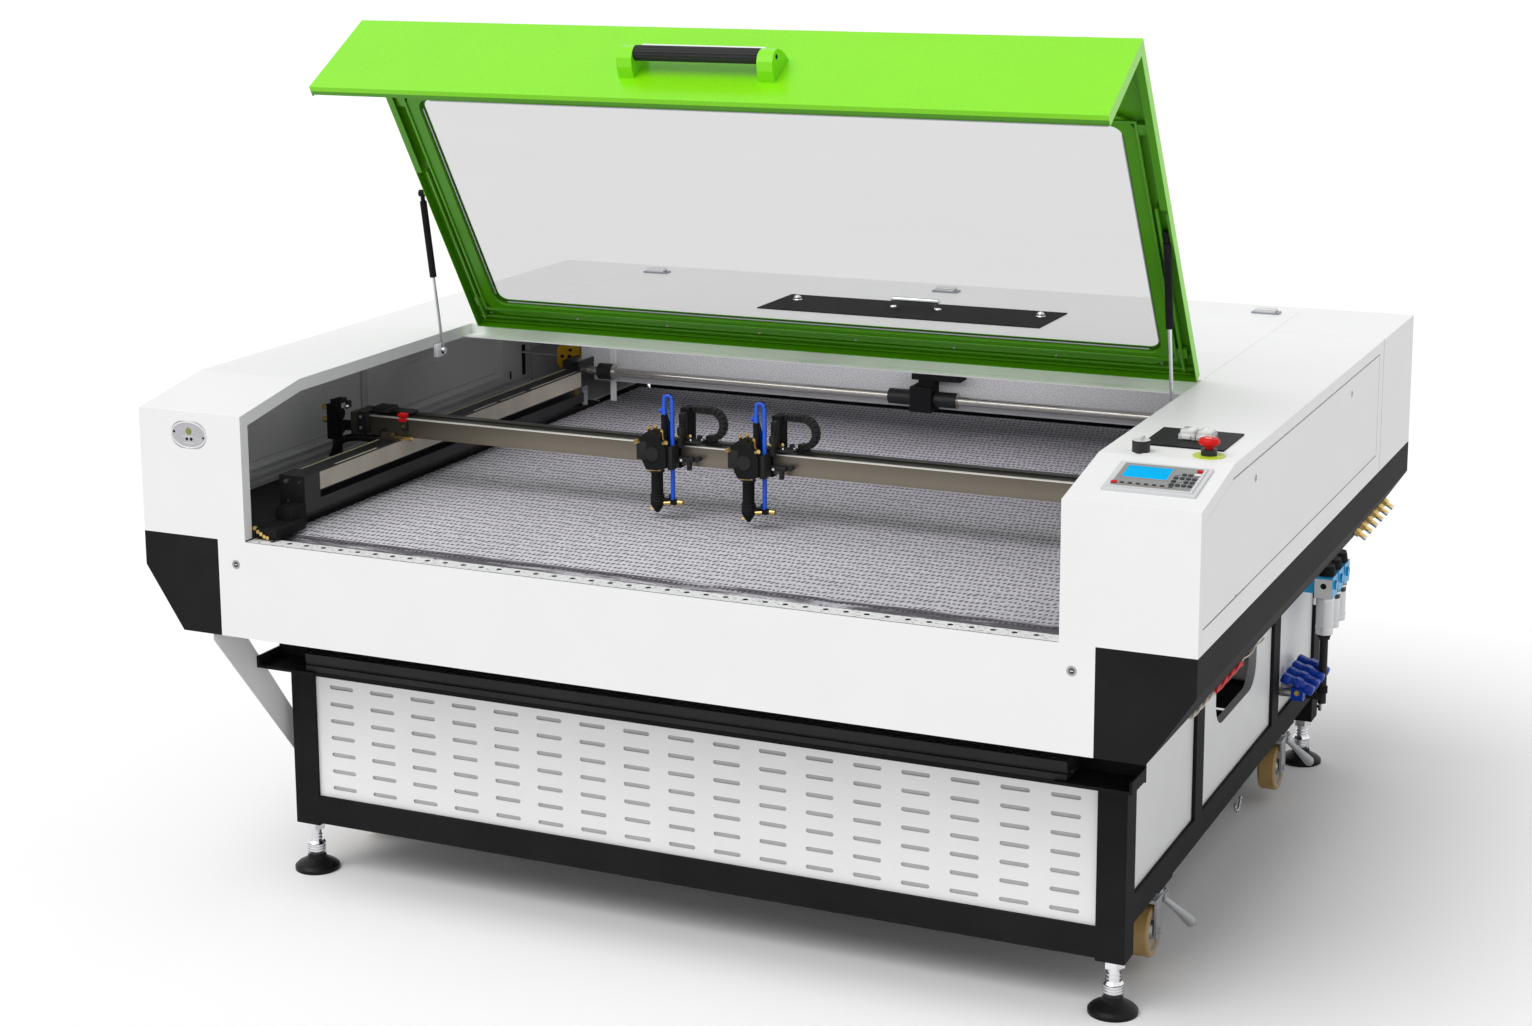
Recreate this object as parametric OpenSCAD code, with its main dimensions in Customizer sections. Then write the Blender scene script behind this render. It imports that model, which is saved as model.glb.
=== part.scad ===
// Conveyor laser cutting machine: two housings over a belt table, a tilting lid,
// a gantry with two cutting heads, and a welded base on levelling feet.
// X runs across the machine, Y from front to back, Z up from the floor.

/* [Body] */
// Width over both housings
body_w = 2300; // [2200:10:2800]
// Depth from the front face to the back of the cabinet
body_d = 1920; // [1900:10:2400]
// Height of the underside of the housings
housing_z = 828; // [800:1:900]
// Height of the front face of each housing
nose_h = 269; // [250:1:300]
// Height that the sloping front gains up to the deck
slope_rise = 40; // [25:1:60]
// Depth of the sloping front
slope_d = 225; // [200:1:300]
// Width of each housing
housing_w = 258; // [250:1:300]
// Thickness of the folded sheet
sheet = 2; // [1.5:0.1:3]
// Width of the folded rim round the work opening
rim_w = 27; // [20:1:35]
// Depth of the cabinet across the back
cabinet_d = 345; // [340:1:380]
// Width and depth of the groove where the cabinet meets the housings
groove = 1.5; // [0.5:0.1:2]

/* [Doors and cover] */
// Margin between a door and the outline of its housing
door_margin = 28; // [20:1:40]
// Height of a door's lower edge above the underside of the housing
door_low = 48; // [40:1:80]
// Distance from the back of a door to the cabinet
door_rear = 48; // [30:1:80]
// Depth of the folds round a door and the rear cover
fold = 15; // [8:1:18]
// Diameter of a cam lock
lock_d = 20; // [14:1:30]
// Distance from the front face to a door's front lock
lock_front = 389; // [320:1:450]
// Distance from a door's rear lock to the cabinet
lock_rear = 337; // [280:1:400]
// Depth of the door locks below the deck
lock_drop = 63; // [50:1:90]
// Gap round doors and the cover
seam = 0.6; // [0.4:0.1:0.9]
// Width of the strip of cabinet top behind the cover
cover_rear = 70; // [50:1:90]
// Width of the hatch in the rear cover
hatch_w = 726; // [500:2:1000]
// Depth of the hatch
hatch_d = 215; // [150:1:260]
// Distance from the back of the cover to the hatch
hatch_rear = 230; // [120:1:300]
// Offset of the hatch from the middle of the machine
hatch_x = 19; // [0:1:40]

/* [Lid] */
// Gap between the lid and the right housing
lid_gap = 4; // [3:0.5:8]
// Gap between the lid and the left housing, where a strut passes
lid_gap_left = 32; // [30:0.5:36]
// Length of the lid panel from its hinge to its front edge
lid_len = 889; // [840:1:900]
// Depth of the lid's side folds
lid_depth = 24; // [20:1:30]
// Angle that the lid stands open
lid_open = 57; // [40:1:60]
// Length of the front flap
flap_len = 249; // [200:1:260]
// Outward lean of the flap
flap_tilt = 2.4; // [0:0.1:4]
// Distance from the lid's hinge axis to the front face
hinge_y = 955; // [945:1:965]
// Height of the hinge axis above the deck
hinge_rise = 7; // [7:0.5:12]
// Distance from the side of the lid to the window
window_side = 76; // [70:1:120]
// Distance from the hinge to the near edge of the window
window_from = 80; // [60:1:120]
// Length of the window towards the front
window_len = 596; // [450:1:640]
// Corner radius of the window
window_r = 22; // [16:1:60]
// Thickness of the window pane
pane_t = 5; // [3:0.5:8]

/* [Handle] */
// Length over the handle's two ends
handle_w = 344; // [300:2:400]
// Distance from the body's middle to the handle's middle
handle_mid = 18; // [0:1:30]
// Width of one end block
handle_end_w = 34; // [28:1:50]
// Diameter of the grip
grip_d = 30; // [22:1:30]
// Distance from the flap to the middle of the grip
grip_out = 38; // [34:1:45]
// Distance from the top of the flap to the middle of the grip
handle_drop = 146; // [100:1:160]

/* [Gas struts] */
// Distance from the hinge to a strut's upper joint along the lid
strut_u = 410; // [380:1:440]
// Depth of the upper joint under the lid's face
strut_v = 14; // [13:0.5:18]
// Distance from the front face to a strut's lower joint
strut_foot_y = 792; // [770:1:810]
// Depth of the lower joint below the deck
strut_foot_drop = 36; // [32:1:45]
// Diameter of the strut tube
strut_d = 16; // [14:0.5:17]
// Length of the strut tube
strut_tube_l = 183; // [170:1:190]
// Diameter of the strut rod
rod_d = 8; // [6:0.5:9]
// Diameter of the studs that the struts turn on
stud_d = 8; // [6:0.5:10]

/* [Conveyor] */
// Drop of the belt's upper face below the underside of the housings
belt_drop = 4; // [3:0.5:10]
// Gap between the belt and each housing's rim
belt_gap = 22; // [20:1:60]
// Thickness of the belt
belt_t = 3; // [2:0.5:5]
// Diameter of the two rollers
roller_d = 110; // [80:1:116]
// Distance from the front face to the front roller's axis
roller_front = 106; // [106:1:130]
// Distance from the back of the cabinet to the rear roller's axis
roller_rear = 125; // [122:1:160]
// Diameter of the roller journals
journal_d = 30; // [20:1:40]
// Thickness of the bed's side rails
bed_rail_t = 12; // [8:1:14]
// Thickness of the table plate under the belt
table_t = 6; // [4:1:30]

/* [Guide rails and drive] */
// Width of a guide rail
rail_w = 50; // [40:1:56]
// Height of a guide rail
rail_h = 44; // [30:1:54]
// Height of the rail's upper face above the underside of the housings
rail_top = 108; // [100:1:120]
// Distance from the front face to the front of the rails
rail_front = 167; // [120:1:200]
// Distance from the drive shaft to the back of the cabinet
shaft_rear = 440; // [439:1:450]
// Diameter of the drive shaft
shaft_d = 22; // [16:1:26]
// Distance from the drive shaft to the baffle behind it
baffle_gap = 30; // [29:1:40]

/* [Gantry] */
// Distance from the front face to the front of the beam
beam_y = 565; // [560:1:600]
// Depth of the beam
beam_d = 60; // [50:1:80]
// Height of the beam
beam_h = 44; // [36:1:48]
// Distance from the beam's end to the outer side of the housing
beam_gap = 165; // [155:1:170]
// Wall of the beam
beam_wall = 4; // [2:0.5:6]
// Height of the carriages that carry the beam
carriage_h = 6; // [5:0.5:10]

/* [Cutting heads] */
// Distance of the left head's axis from the middle
left_head_x = -189; // [-300:1:-150]
// Distance of the right head's axis from the middle
right_head_x = 28; // [0:1:200]
// Distance from the front of the beam to the head's axis
head_out = 30; // [29:1:36]
// Diameter of the lens tube
lens_tube_d = 26; // [20:1:30]
// Height of the nozzle's tip above the belt
nozzle_lift = 16; // [8:1:24]
// Diameter of the air hoses
hose_d = 9; // [6:0.5:10]

/* [Base] */
// Clearance between the conveyor's bed and the legs
bed_gap = 12; // [6:1:20]
// Size of the square tube
tube = 60; // [50:1:70]
// Distance from the front face to the front legs
leg_front = 243; // [220:1:260]
// Distance from the rear legs to the back of the cabinet
leg_rear = 20; // [20:1:40]
// Height of the legs' lower ends above the floor
leg_z = 114; // [100:1:130]
// Height of the side beams' lower faces
side_beam_z = 180; // [176:1:200]
// Height of the front beam's lower face
front_beam_z = 120; // [115:1:140]
// Height of the upper front beam's lower face
upper_beam_z = 463; // [440:1:480]
// Gap between a front leg and the first mid post
front_bay = 442; // [420:1:480]
// Gap between the second mid post and the rear leg
rear_bay = 363; // [340:1:380]
// Inset of the panels behind the faces of the base
panel_inset = 8; // [4:1:12]
// Width of the window in the right-hand panel
port_w = 355; // [200:1:400]
// Height of that window
port_h = 300; // [150:1:320]
// Corner radius of that window
port_r = 60; // [20:1:90]
// Columns of slots in the front panel
slot_columns = 17; // [4:1:17]
// Rows of slots
slot_rows = 7; // [2:1:7]
// Distance from the side of the slotted panel to the first column
slot_side = 66; // [50:1:120]
// Distance from the foot of the slotted panel to the first row
slot_foot = 23; // [16:1:50]
// Length of a slot
slot_l = 61; // [40:1:70]
// Height of a slot
slot_h = 9; // [6:0.5:12]

/* [Skirts and front panel] */
// Height of the skirts and the front panel
skirt_h = 211; // [180:1:215]
// Height of a skirt's upright part
skirt_upright = 74; // [60:1:90]
// Width that a skirt narrows by at its foot
skirt_taper = 91; // [60:1:110]
// Lap of the front panel past each side of the base
front_lap = 3; // [1:1:8]
// Depth of the front panel's folded top
lip_d = 43; // [30:1:43]
// Diameter of the holes in the folded top
lip_hole_d = 6; // [4:0.5:8]
// Pitch of those holes
lip_pitch = 42; // [30:1:60]

/* [Feet and casters] */
// Diameter of a levelling foot
foot_d = 100; // [80:1:120]
// Diameter of a foot's threaded stem
stem_d = 24; // [16:1:30]
// Diameter of a caster wheel
wheel_d = 112; // [100:1:114]
// Width of a caster wheel
wheel_w = 40; // [30:1:46]
// Height of the wheels above the floor
wheel_lift = 30; // [20:1:32]
// Distance from the front legs to the front casters' swivels
caster_front = 287; // [260:1:320]
// Distance from the rear legs to the rear casters' swivels
caster_rear = 244; // [230:1:300]
// Distance of the wheel's axle behind its swivel
trail = 30; // [20:1:36]
// Diameter of a caster's axle
axle_d = 12; // [10:1:16]

/* [Controls] */
// Width of the control panel
panel_w = 174; // [150:1:190]
// Height of the control panel
panel_h = 130; // [110:1:150]
// Diameter of the emergency stop's button
mushroom_d = 40; // [30:1:50]
// Travel of the emergency stop
stop_travel = 5; // [3:0.5:6]
// Diameter of the key switch's knob
key_d = 34; // [24:1:40]
// Width of the port plate
port_plate_w = 158; // [140:1:170]
// Depth of the port plate
port_plate_d = 155; // [120:1:170]

/* [Laser and air] */
// Diameter of the laser tube
laser_d = 80; // [50:1:90]
// Distance from each end of the laser tube to the side of the cabinet
laser_side = 350; // [300:10:500]
// Distance from the middle of the tube to the back of the cabinet
laser_rear = 150; // [140:1:160]
// Height of the tube's shelf above the underside of the housings
shelf_up = 100; // [90:1:110]
// Diameter of an air filter's bowl
bowl_d = 40; // [36:1:42]
// Pitch of the air filters
filter_pitch = 66; // [62:1:72]

/* [Fits] */
// Clearance of running fits on the radius
fit = 0.05; // [0.02:0.01:0.1]
// Clearance between pieces that slide or lie close
clear = 0.3; // [0.2:0.1:0.5]

/* [Hidden] */
$fn = 48;

white = [0.93, 0.93, 0.94];
pale = [0.80, 0.81, 0.82];
black = [0.12, 0.12, 0.12];
lime = [0.50, 0.86, 0.12];
steel = [0.75, 0.76, 0.78];

half_w = body_w / 2;
half_open = half_w - housing_w;
nose_z = housing_z + nose_h;
deck_z = nose_z + slope_rise;
slope_a = atan2(slope_rise, slope_d);
cabinet_y = body_d - cabinet_d;
eps = 1;

// Floor inside the housings, which reaches a little into the work opening
floor_lip = 16;
floor_z = housing_z + sheet;

hinge_z = deck_z + hinge_rise;
half_lid = half_open - (lid_gap + lid_gap_left) / 2;
lid_mid = (lid_gap_left - lid_gap) / 2;
lid_w = 2 * half_lid;
window_w = lid_w - 2 * window_side;
lid_back = 6.5;
knuckle_d = 10;
hinge_pin_d = 4;
hinge_w = 80;
hinge_places = [-half_open + 192, 0, half_open - 192];
rail_cap_y = hinge_y + 0.5;
cover_y = hinge_y + 21;
cover_end = body_d - cover_rear;

// Struts: the direction and length from the lower joint to the upper one
strut_foot_z = deck_z - strut_foot_drop;
strut_top_y = hinge_y - strut_u * cos(lid_open) - strut_v * sin(lid_open);
strut_top_z = hinge_z + strut_u * sin(lid_open) - strut_v * cos(lid_open);
strut_dir = atan2(strut_top_z - strut_foot_z, strut_top_y - strut_foot_y);
strut_l = norm([strut_top_y - strut_foot_y, strut_top_z - strut_foot_z]);
strut_eye_w = 12;
strut_x = half_open - 18;
strut_neck = 20;
rod_grip = 30;

belt_z = housing_z - belt_drop;
half_belt = half_open - belt_gap;
roller_z = belt_z - belt_t - clear - roller_d / 2;
rear_roller_y = body_d - roller_rear;
belt_in_r = roller_d / 2 + clear;
belt_out_r = belt_in_r + belt_t;
bed_in = half_belt + 4;
bed_out = bed_in + bed_rail_t;
bed_low = roller_z - 66;

rail_z = housing_z + rail_top;
rail_in = half_belt - 15;
rail_out = rail_in + rail_w;
rail_bracket = 59;
shaft_z = rail_z - 6;
shaft_y = body_d - shaft_rear;
baffle_y = shaft_y + baffle_gap;
strip_t = 1.5;

beam_z = rail_z + carriage_h;
beam_top = beam_z + beam_h;
beam_back = beam_y + beam_d;
half_beam = half_w - beam_gap;
tray_h = 3;
head_y = beam_y - head_out;
nozzle_z = belt_z + nozzle_lift;
hose_top = deck_z - 31;

leg_in = bed_out + bed_gap;
half_base = leg_in + tube;
rear_leg_y = body_d - leg_rear - tube;
post_1 = leg_front + tube + front_bay;
post_2 = rear_leg_y - rear_bay - tube;
mid_bay = post_2 - post_1 - tube;
skirt_z = housing_z - skirt_h;
half_front = half_base + front_lap;
leg_x = half_base - tube / 2;
front_leg_y = leg_front + tube / 2;
rear_foot_y = rear_leg_y + tube / 2;
foot_places = [
    [-leg_x, front_leg_y], [leg_x, front_leg_y],
    [-leg_x, rear_foot_y], [leg_x, rear_foot_y]
];
caster_x = leg_x - 3;
caster_front_y = leg_front + caster_front;
caster_rear_y = rear_leg_y - caster_rear;
caster_plate_t = 6;
axle_z = wheel_lift + wheel_d / 2;

panel_x = half_w - 114.5;
panel_y = slope_d * 0.525;
stop_x = half_w - 60;
stop_y = slope_d + 43;
key_x = half_w - 185;
key_y = slope_d + 27;
ports_x = half_w - 123;
ports_y = slope_d + 165;
stop_stem_d = 22;
key_stem_d = 16;
collar_h = 14;

shelf_z = housing_z + shelf_up;
laser_y = body_d - laser_rear;
laser_z = shelf_z + 63;

air_x = half_base + 70;
valve_front = post_2 + tube + 14;
valve_pitch = 52;
air_front = valve_front + 2.5 * valve_pitch;
bowl_low = skirt_z - 205;

// Places every piece with the middle of the body's depth at Y = 0
module at_front() {
    translate([0, -body_d / 2, 0]) children();
}

module both_sides() {
    children();
    mirror([1, 0, 0]) children();
}

module block(low, high) {
    translate(low) cube(high - low);
}

// Extrudes a shape drawn in Y and Z from x0 to x1
module along_x(x0, x1) {
    translate([x0, 0, 0]) rotate([90, 0, 90]) linear_extrude(x1 - x0) children();
}

// Extrudes a shape drawn in X and Z from y0 to y1
module along_y(y0, y1) {
    translate([0, y1, 0]) rotate([90, 0, 0]) linear_extrude(y1 - y0) children();
}

module rod_x(x0, x1, y, z, d) {
    translate([x0, y, z]) rotate([0, 90, 0]) cylinder(h = x1 - x0, d = d);
}

module rod_y(y0, y1, x, z, d) {
    translate([x, y0, z]) rotate([-90, 0, 0]) cylinder(h = y1 - y0, d = d);
}

module rod_z(z0, z1, x, y, d) {
    translate([x, y, z0]) cylinder(h = z1 - z0, d = d);
}

module rounded(w, h, r) {
    union() {
        square([w - 2 * r, h], center = true);
        square([w, h - 2 * r], center = true);
        for (sx = [-1, 1], sy = [-1, 1])
            translate([sx * (w / 2 - r), sy * (h / 2 - r)]) circle(r);
    }
}

// Side outline of a housing, taken in by a margin, down to a height and back to a depth
module housing_outline(margin, low, back) {
    drop = margin / cos(slope_a);
    polygon([
        [margin, low],
        [margin, nose_z + margin * tan(slope_a) - drop],
        [(slope_rise - margin + drop) / tan(slope_a), deck_z - margin],
        [back, deck_z - margin],
        [back, low]
    ]);
}

// Stands a piece on the sloping front of the right housing
module on_slope(x, y) {
    translate([x, y, nose_z + y * tan(slope_a)]) rotate([slope_a, 0, 0]) children();
}

module door_outline(gap) {
    housing_outline(door_margin + gap, housing_z + door_low + gap, cabinet_y - door_rear - gap);
}

// Housings

module housing_shell() {
    difference() {
        along_x(half_open, half_w) housing_outline(0, housing_z, cabinet_y);
        along_x(half_open + sheet, half_w - sheet)
            housing_outline(sheet, floor_z, cabinet_y + eps);
        along_x(half_open - eps, half_open + sheet + eps)
            housing_outline(rim_w, floor_z, cabinet_y + eps);
        along_x(half_w - sheet - eps, half_w + eps) door_outline(0);
    }
    block([half_open - floor_lip, 60, housing_z], [half_open + sheet, cabinet_y, floor_z]);
}

module left_housing() {
    color(white) at_front() difference() {
        mirror([1, 0, 0]) housing_shell();
        translate([-half_w + 127, -eps, nose_z - 49])
            rotate([-90, 0, 0]) linear_extrude(sheet + 2 * eps) rounded(90.6, 58.6, 28.9);
    }
}

module right_housing() {
    color(white) at_front() difference() {
        housing_shell();
        rod_z(deck_z - sheet - eps, deck_z + eps, stop_x, stop_y, stop_stem_d + 2 * clear);
        rod_z(deck_z - sheet - eps, deck_z + eps, key_x, key_y, key_stem_d + 2 * fit);
        block(
            [ports_x - port_plate_w / 2 + 15, ports_y - port_plate_d / 2 + 15, deck_z - sheet - eps],
            [ports_x + port_plate_w / 2 - 15, ports_y + port_plate_d / 2 - 15, deck_z + eps]
        );
        on_slope(panel_x, panel_y)
            block([-panel_w / 2 + 6, -panel_h / 2 + 6, -10], [panel_w / 2 - 6, panel_h / 2 - 6, 10]);
    }
}

module indicator_window() {
    color(pale) at_front() {
        difference() {
            translate([-half_w + 127, 0, nose_z - 49])
                rotate([-90, 0, 0]) linear_extrude(4) rounded(90, 58, 28.6);
            for (s = [-1, 1])
                rod_y(-eps, 1.5, -half_w + 127 + s * 5, nose_z - 59, 5);
        }
        block([-half_w + 78, sheet, nose_z - 60], [-half_w + 176, sheet + 8, nose_z - 38]);
    }
}

module rear_cabinet() {
    top_cut = half_open - sheet;
    color(white) at_front() {
        difference() {
            block([-half_w, cabinet_y, housing_z], [half_w, body_d, deck_z]);
            block(
                [-half_w + sheet, cabinet_y - eps, floor_z],
                [half_w - sheet, body_d - sheet, deck_z - sheet]
            );
            block(
                [-half_open, cabinet_y - eps, deck_z - sheet - eps],
                [half_open, cover_end, deck_z + eps]
            );
            block(
                [-half_open, cabinet_y - eps, housing_z - eps],
                [half_open, rear_roller_y + 62, floor_z + eps]
            );
            block([-half_belt, body_d - sheet - eps, floor_z], [half_belt, body_d + eps, floor_z + 50]);
            for (s = [-1, 1])
                block(
                    [s * half_w - groove, cabinet_y, housing_z - eps],
                    [s * half_w + groove, cabinet_y + groove, deck_z + eps]
                );
            for (s = [-1, 1])
                block(
                    [s * (half_w + half_open) / 2 - 130, cabinet_y, deck_z - groove],
                    [s * (half_w + half_open) / 2 + 130, cabinet_y + groove, deck_z + eps]
                );
        }
        block([-half_w + sheet, laser_y - 130, shelf_z - 3], [half_w - sheet, body_d - sheet, shelf_z]);
        for (x = [-top_cut, top_cut - 3])
            block([x, laser_y - 100, floor_z + 60], [x + 3, body_d - sheet, shelf_z - 3]);
    }
}

module door() {
    color(white) difference() {
        union() {
            difference() {
                along_x(half_w - fold, half_w) door_outline(seam);
                along_x(half_w - fold - eps, half_w - sheet) door_outline(seam + sheet);
            }
            for (y = [lock_front, cabinet_y - lock_rear])
                rod_x(half_w - 24, half_w - sheet, y, deck_z - lock_drop, lock_d);
        }
        for (y = [lock_front, cabinet_y - lock_rear])
            difference() {
                rod_x(half_w - 1, half_w + eps, y, deck_z - lock_drop, lock_d);
                rod_x(half_w - 2, half_w + 2, y, deck_z - lock_drop, lock_d - 3);
            }
    }
}

module right_door() {
    at_front() door();
}

module left_door() {
    at_front() mirror([1, 0, 0]) door();
}

module skirt_outline(inset) {
    polygon([
        [half_w - skirt_taper - inset, skirt_z - (inset > 0 ? eps : 0)],
        [half_w - inset, housing_z - skirt_upright],
        [half_w - inset, housing_z + (inset > 0 ? eps : 0)],
        [half_front - (inset > 0 ? eps : 0), housing_z + (inset > 0 ? eps : 0)],
        [half_front - (inset > 0 ? eps : 0), skirt_z - (inset > 0 ? eps : 0)]
    ]);
}

module skirts() {
    color(black) at_front() both_sides() {
        difference() {
            along_y(0, body_d) skirt_outline(0);
            along_y(sheet, body_d - sheet) skirt_outline(sheet);
        }
        block([half_w - 34, sheet, housing_z - sheet], [half_w - sheet, body_d - sheet, housing_z]);
    }
}

module front_panel() {
    holes = floor((2 * half_open - 80) / lip_pitch);
    color(white) at_front() difference() {
        union() {
            block([-half_front, 0, skirt_z], [half_front, sheet, housing_z]);
            block([-half_front, 0, housing_z - sheet], [half_front, sheet + lip_d, housing_z]);
            block(
                [-half_belt, sheet + lip_d - sheet, housing_z - 22],
                [half_belt, sheet + lip_d, housing_z]
            );
            block([-half_front, 0, skirt_z], [half_front, 18, skirt_z + sheet]);
            for (s = [-1, 1])
                rod_y(sheet, 24, s * (half_front - 44), housing_z - 51, lock_d);
        }
        for (i = [0 : holes])
            rod_z(
                housing_z - sheet - eps, housing_z + eps,
                (i - holes / 2) * lip_pitch, sheet + lip_d * 0.6, lip_hole_d
            );
        for (s = [-1, 1])
            difference() {
                rod_y(-eps, 1, s * (half_front - 44), housing_z - 51, lock_d);
                rod_y(-2, 2, s * (half_front - 44), housing_z - 51, lock_d - 3);
            }
    }
}

// Lid, drawn closed along -Y from its hinge and turned open

module on_lid() {
    at_front() translate([0, hinge_y, hinge_z]) rotate([-lid_open, 0, 0]) children();
}

// Stands on the flap: -Z runs down the flap and -Y out of it
module on_flap() {
    translate([0, -lid_len, 0]) rotate([-flap_tilt, 0, 0]) children();
}

module window_shape(grow) {
    translate([lid_mid, -window_from - window_len / 2])
        rounded(window_w + 2 * grow, window_len + 2 * grow, window_r + grow);
}

module lid_shell() {
    ring = 30;
    color(lime) on_lid() difference() {
        union() {
            translate([0, 0, -sheet]) linear_extrude(sheet) difference() {
                translate([lid_mid - half_lid, -lid_len]) square([lid_w, lid_len - lid_back]);
                window_shape(0);
            }
            translate([0, 0, -14]) linear_extrude(14 - sheet) difference() {
                window_shape(8 + ring);
                window_shape(8);
            }
            for (x = [lid_mid - half_lid, lid_mid + half_lid - sheet])
                block([x, -lid_len, -lid_depth], [x + sheet, -lid_back, 0]);
            block(
                [lid_mid - half_lid, -lid_back - sheet, -lid_depth],
                [lid_mid + half_lid, -lid_back, 0]
            );
            for (x = [lid_mid - half_lid, lid_mid + half_lid - sheet - 14])
                block([x, -lid_len, -lid_depth], [x + sheet + 14, -strut_u - 70, -lid_depth + sheet]);
            on_flap() translate([lid_mid, 0, 0]) {
                block([-half_lid, 0, -flap_len], [half_lid, sheet, 0]);
                block([-half_lid, 0, -flap_len], [half_lid, 20, -flap_len + sheet]);
                for (x = [-half_lid, half_lid - sheet])
                    block([x, 0, -flap_len], [x + sheet, lid_depth, 0]);
            }
            for (s = [-1, 1])
                rod_x(
                    s * strut_x + strut_eye_w / 2 + clear,
                    lid_mid + s * half_lid - (s > 0 ? sheet : -1),
                    -strut_u, -strut_v, stud_d
                );
            for (x = hinge_places) {
                rod_x(x - hinge_w / 2 + 20, x + hinge_w / 2 - 20, 0, 0, knuckle_d);
                block([x - hinge_w / 2 + 20, -lid_back - 1, -3], [x + hinge_w / 2 - 20, 0, -1]);
            }
        }
        for (x = hinge_places)
            rod_x(x - hinge_w, x + hinge_w, 0, 0, hinge_pin_d + 2 * fit);
    }
}

module lid_window() {
    color([0.85, 0.87, 0.90, 0.5]) on_lid()
        translate([0, 0, -sheet - pane_t]) linear_extrude(pane_t) window_shape(8 - clear);
}

module handle_ends() {
    color(lime) on_lid() on_flap() translate([handle_mid, 0, 0]) for (s = [-1, 1]) {
        x0 = s > 0 ? handle_w / 2 - handle_end_w : -handle_w / 2;
        difference() {
            along_x(x0, x0 + handle_end_w) polygon([
                [0, -handle_drop + 46],
                [-grip_out + 18, -handle_drop + 37],
                [-grip_out, -handle_drop + 24],
                [-grip_out - 11, -handle_drop + 12],
                [-grip_out - 14, -handle_drop],
                [-grip_out - 12, -handle_drop - 12],
                [-grip_out - 3, -handle_drop - 23],
                [-grip_out + 14, -handle_drop - 31],
                [0, -handle_drop - 34]
            ]);
            rod_x(
                s > 0 ? x0 - eps : x0 + handle_end_w - 12,
                s > 0 ? x0 + 12 : x0 + handle_end_w + eps,
                -grip_out, -handle_drop, 20
            );
        }
    }
}

module handle_grip() {
    half_grip = handle_w / 2 - handle_end_w;
    color(black) on_lid() on_flap() translate([handle_mid, 0, 0]) {
        rod_x(-half_grip, half_grip, -grip_out, -handle_drop, grip_d);
        rod_x(-half_grip - 12, half_grip + 12, -grip_out, -handle_drop, 20 - 2 * fit);
    }
}

module hinge_rail() {
    color(pale) at_front() {
        block([-half_open, rail_cap_y, deck_z - 3], [half_open, cover_y - seam, deck_z]);
        block([-half_open, rail_cap_y, deck_z - 26], [half_open, rail_cap_y + 3, deck_z]);
        block([-half_open, hinge_y - 40, deck_z - 26], [half_open, rail_cap_y + 3, deck_z - 23]);
        for (x = hinge_places) {
            rod_x(x - hinge_w / 2, x + hinge_w / 2, hinge_y, hinge_z, hinge_pin_d);
            for (s = [-1, 1])
                translate([s > 0 ? x + hinge_w / 2 - 20 + clear : x - hinge_w / 2, 0, 0]) {
                    rod_x(0, 20 - clear, hinge_y, hinge_z, knuckle_d);
                    block([0, hinge_y, deck_z], [20 - clear, hinge_y + 16, deck_z + 2.5]);
                    block([0, hinge_y, deck_z + 1], [20 - clear, hinge_y + 5, hinge_z]);
                }
        }
    }
}

// Gas struts, drawn along +Z from the lower joint

module on_strut() {
    translate([strut_x, strut_foot_y, strut_foot_z]) rotate([strut_dir - 90, 0, 0]) children();
}

module strut_rod() {
    rod_end = strut_l - strut_neck - strut_tube_l + rod_grip;
    color(steel) on_strut() difference() {
        union() {
            rod_x(-strut_eye_w / 2, strut_eye_w / 2, 0, 0, strut_d);
            rod_z(strut_d / 2 - 3, rod_end, 0, 0, rod_d);
            rod_z(rod_end - 8, rod_end, 0, 0, strut_d - 4 - 2 * fit);
        }
        rod_x(-strut_eye_w, strut_eye_w, 0, 0, stud_d + 2 * fit);
    }
}

module strut_tube() {
    low = strut_l - strut_neck - strut_tube_l;
    color(black) on_strut() {
        difference() {
            rod_z(low, low + strut_tube_l, 0, 0, strut_d);
            rod_z(low + 12, low + strut_tube_l - 6, 0, 0, strut_d - 4);
            rod_z(low - eps, low + 13, 0, 0, rod_d + 2 * fit);
        }
        rod_z(low + strut_tube_l, strut_l, 0, 0, 10);
        rod_x(-strut_eye_w / 2, strut_eye_w / 2, 0, strut_l, strut_d);
    }
}

module left_strut_rod() {
    at_front() mirror([1, 0, 0]) strut_rod();
}

module right_strut_rod() {
    at_front() strut_rod();
}

module left_strut_tube() {
    at_front() mirror([1, 0, 0]) strut_tube();
}

module right_strut_tube() {
    at_front() strut_tube();
}

module strut_mounts() {
    color(steel) at_front() both_sides() {
        block(
            [half_open - 3, strut_foot_y - 15, strut_foot_z - 13],
            [half_open, strut_foot_y + 15, deck_z - 19]
        );
        rod_x(
            strut_x - strut_eye_w / 2 - 1, half_open - 3,
            strut_foot_y, strut_foot_z, stud_d
        );
        rod_x(strut_x + strut_eye_w / 2 + clear, half_open - 3, strut_foot_y, strut_foot_z, stud_d + 5);
    }
}

// Conveyor

module loop_shape(r) {
    translate([roller_front, roller_z]) circle(r, $fn = 96);
    translate([rear_roller_y, roller_z]) circle(r, $fn = 96);
    translate([roller_front, roller_z - r]) square([rear_roller_y - roller_front, 2 * r]);
}

module conveyor_belt() {
    color([0.52, 0.50, 0.55]) at_front() along_x(-half_belt, half_belt) difference() {
        loop_shape(belt_out_r);
        loop_shape(belt_in_r);
    }
}

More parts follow.
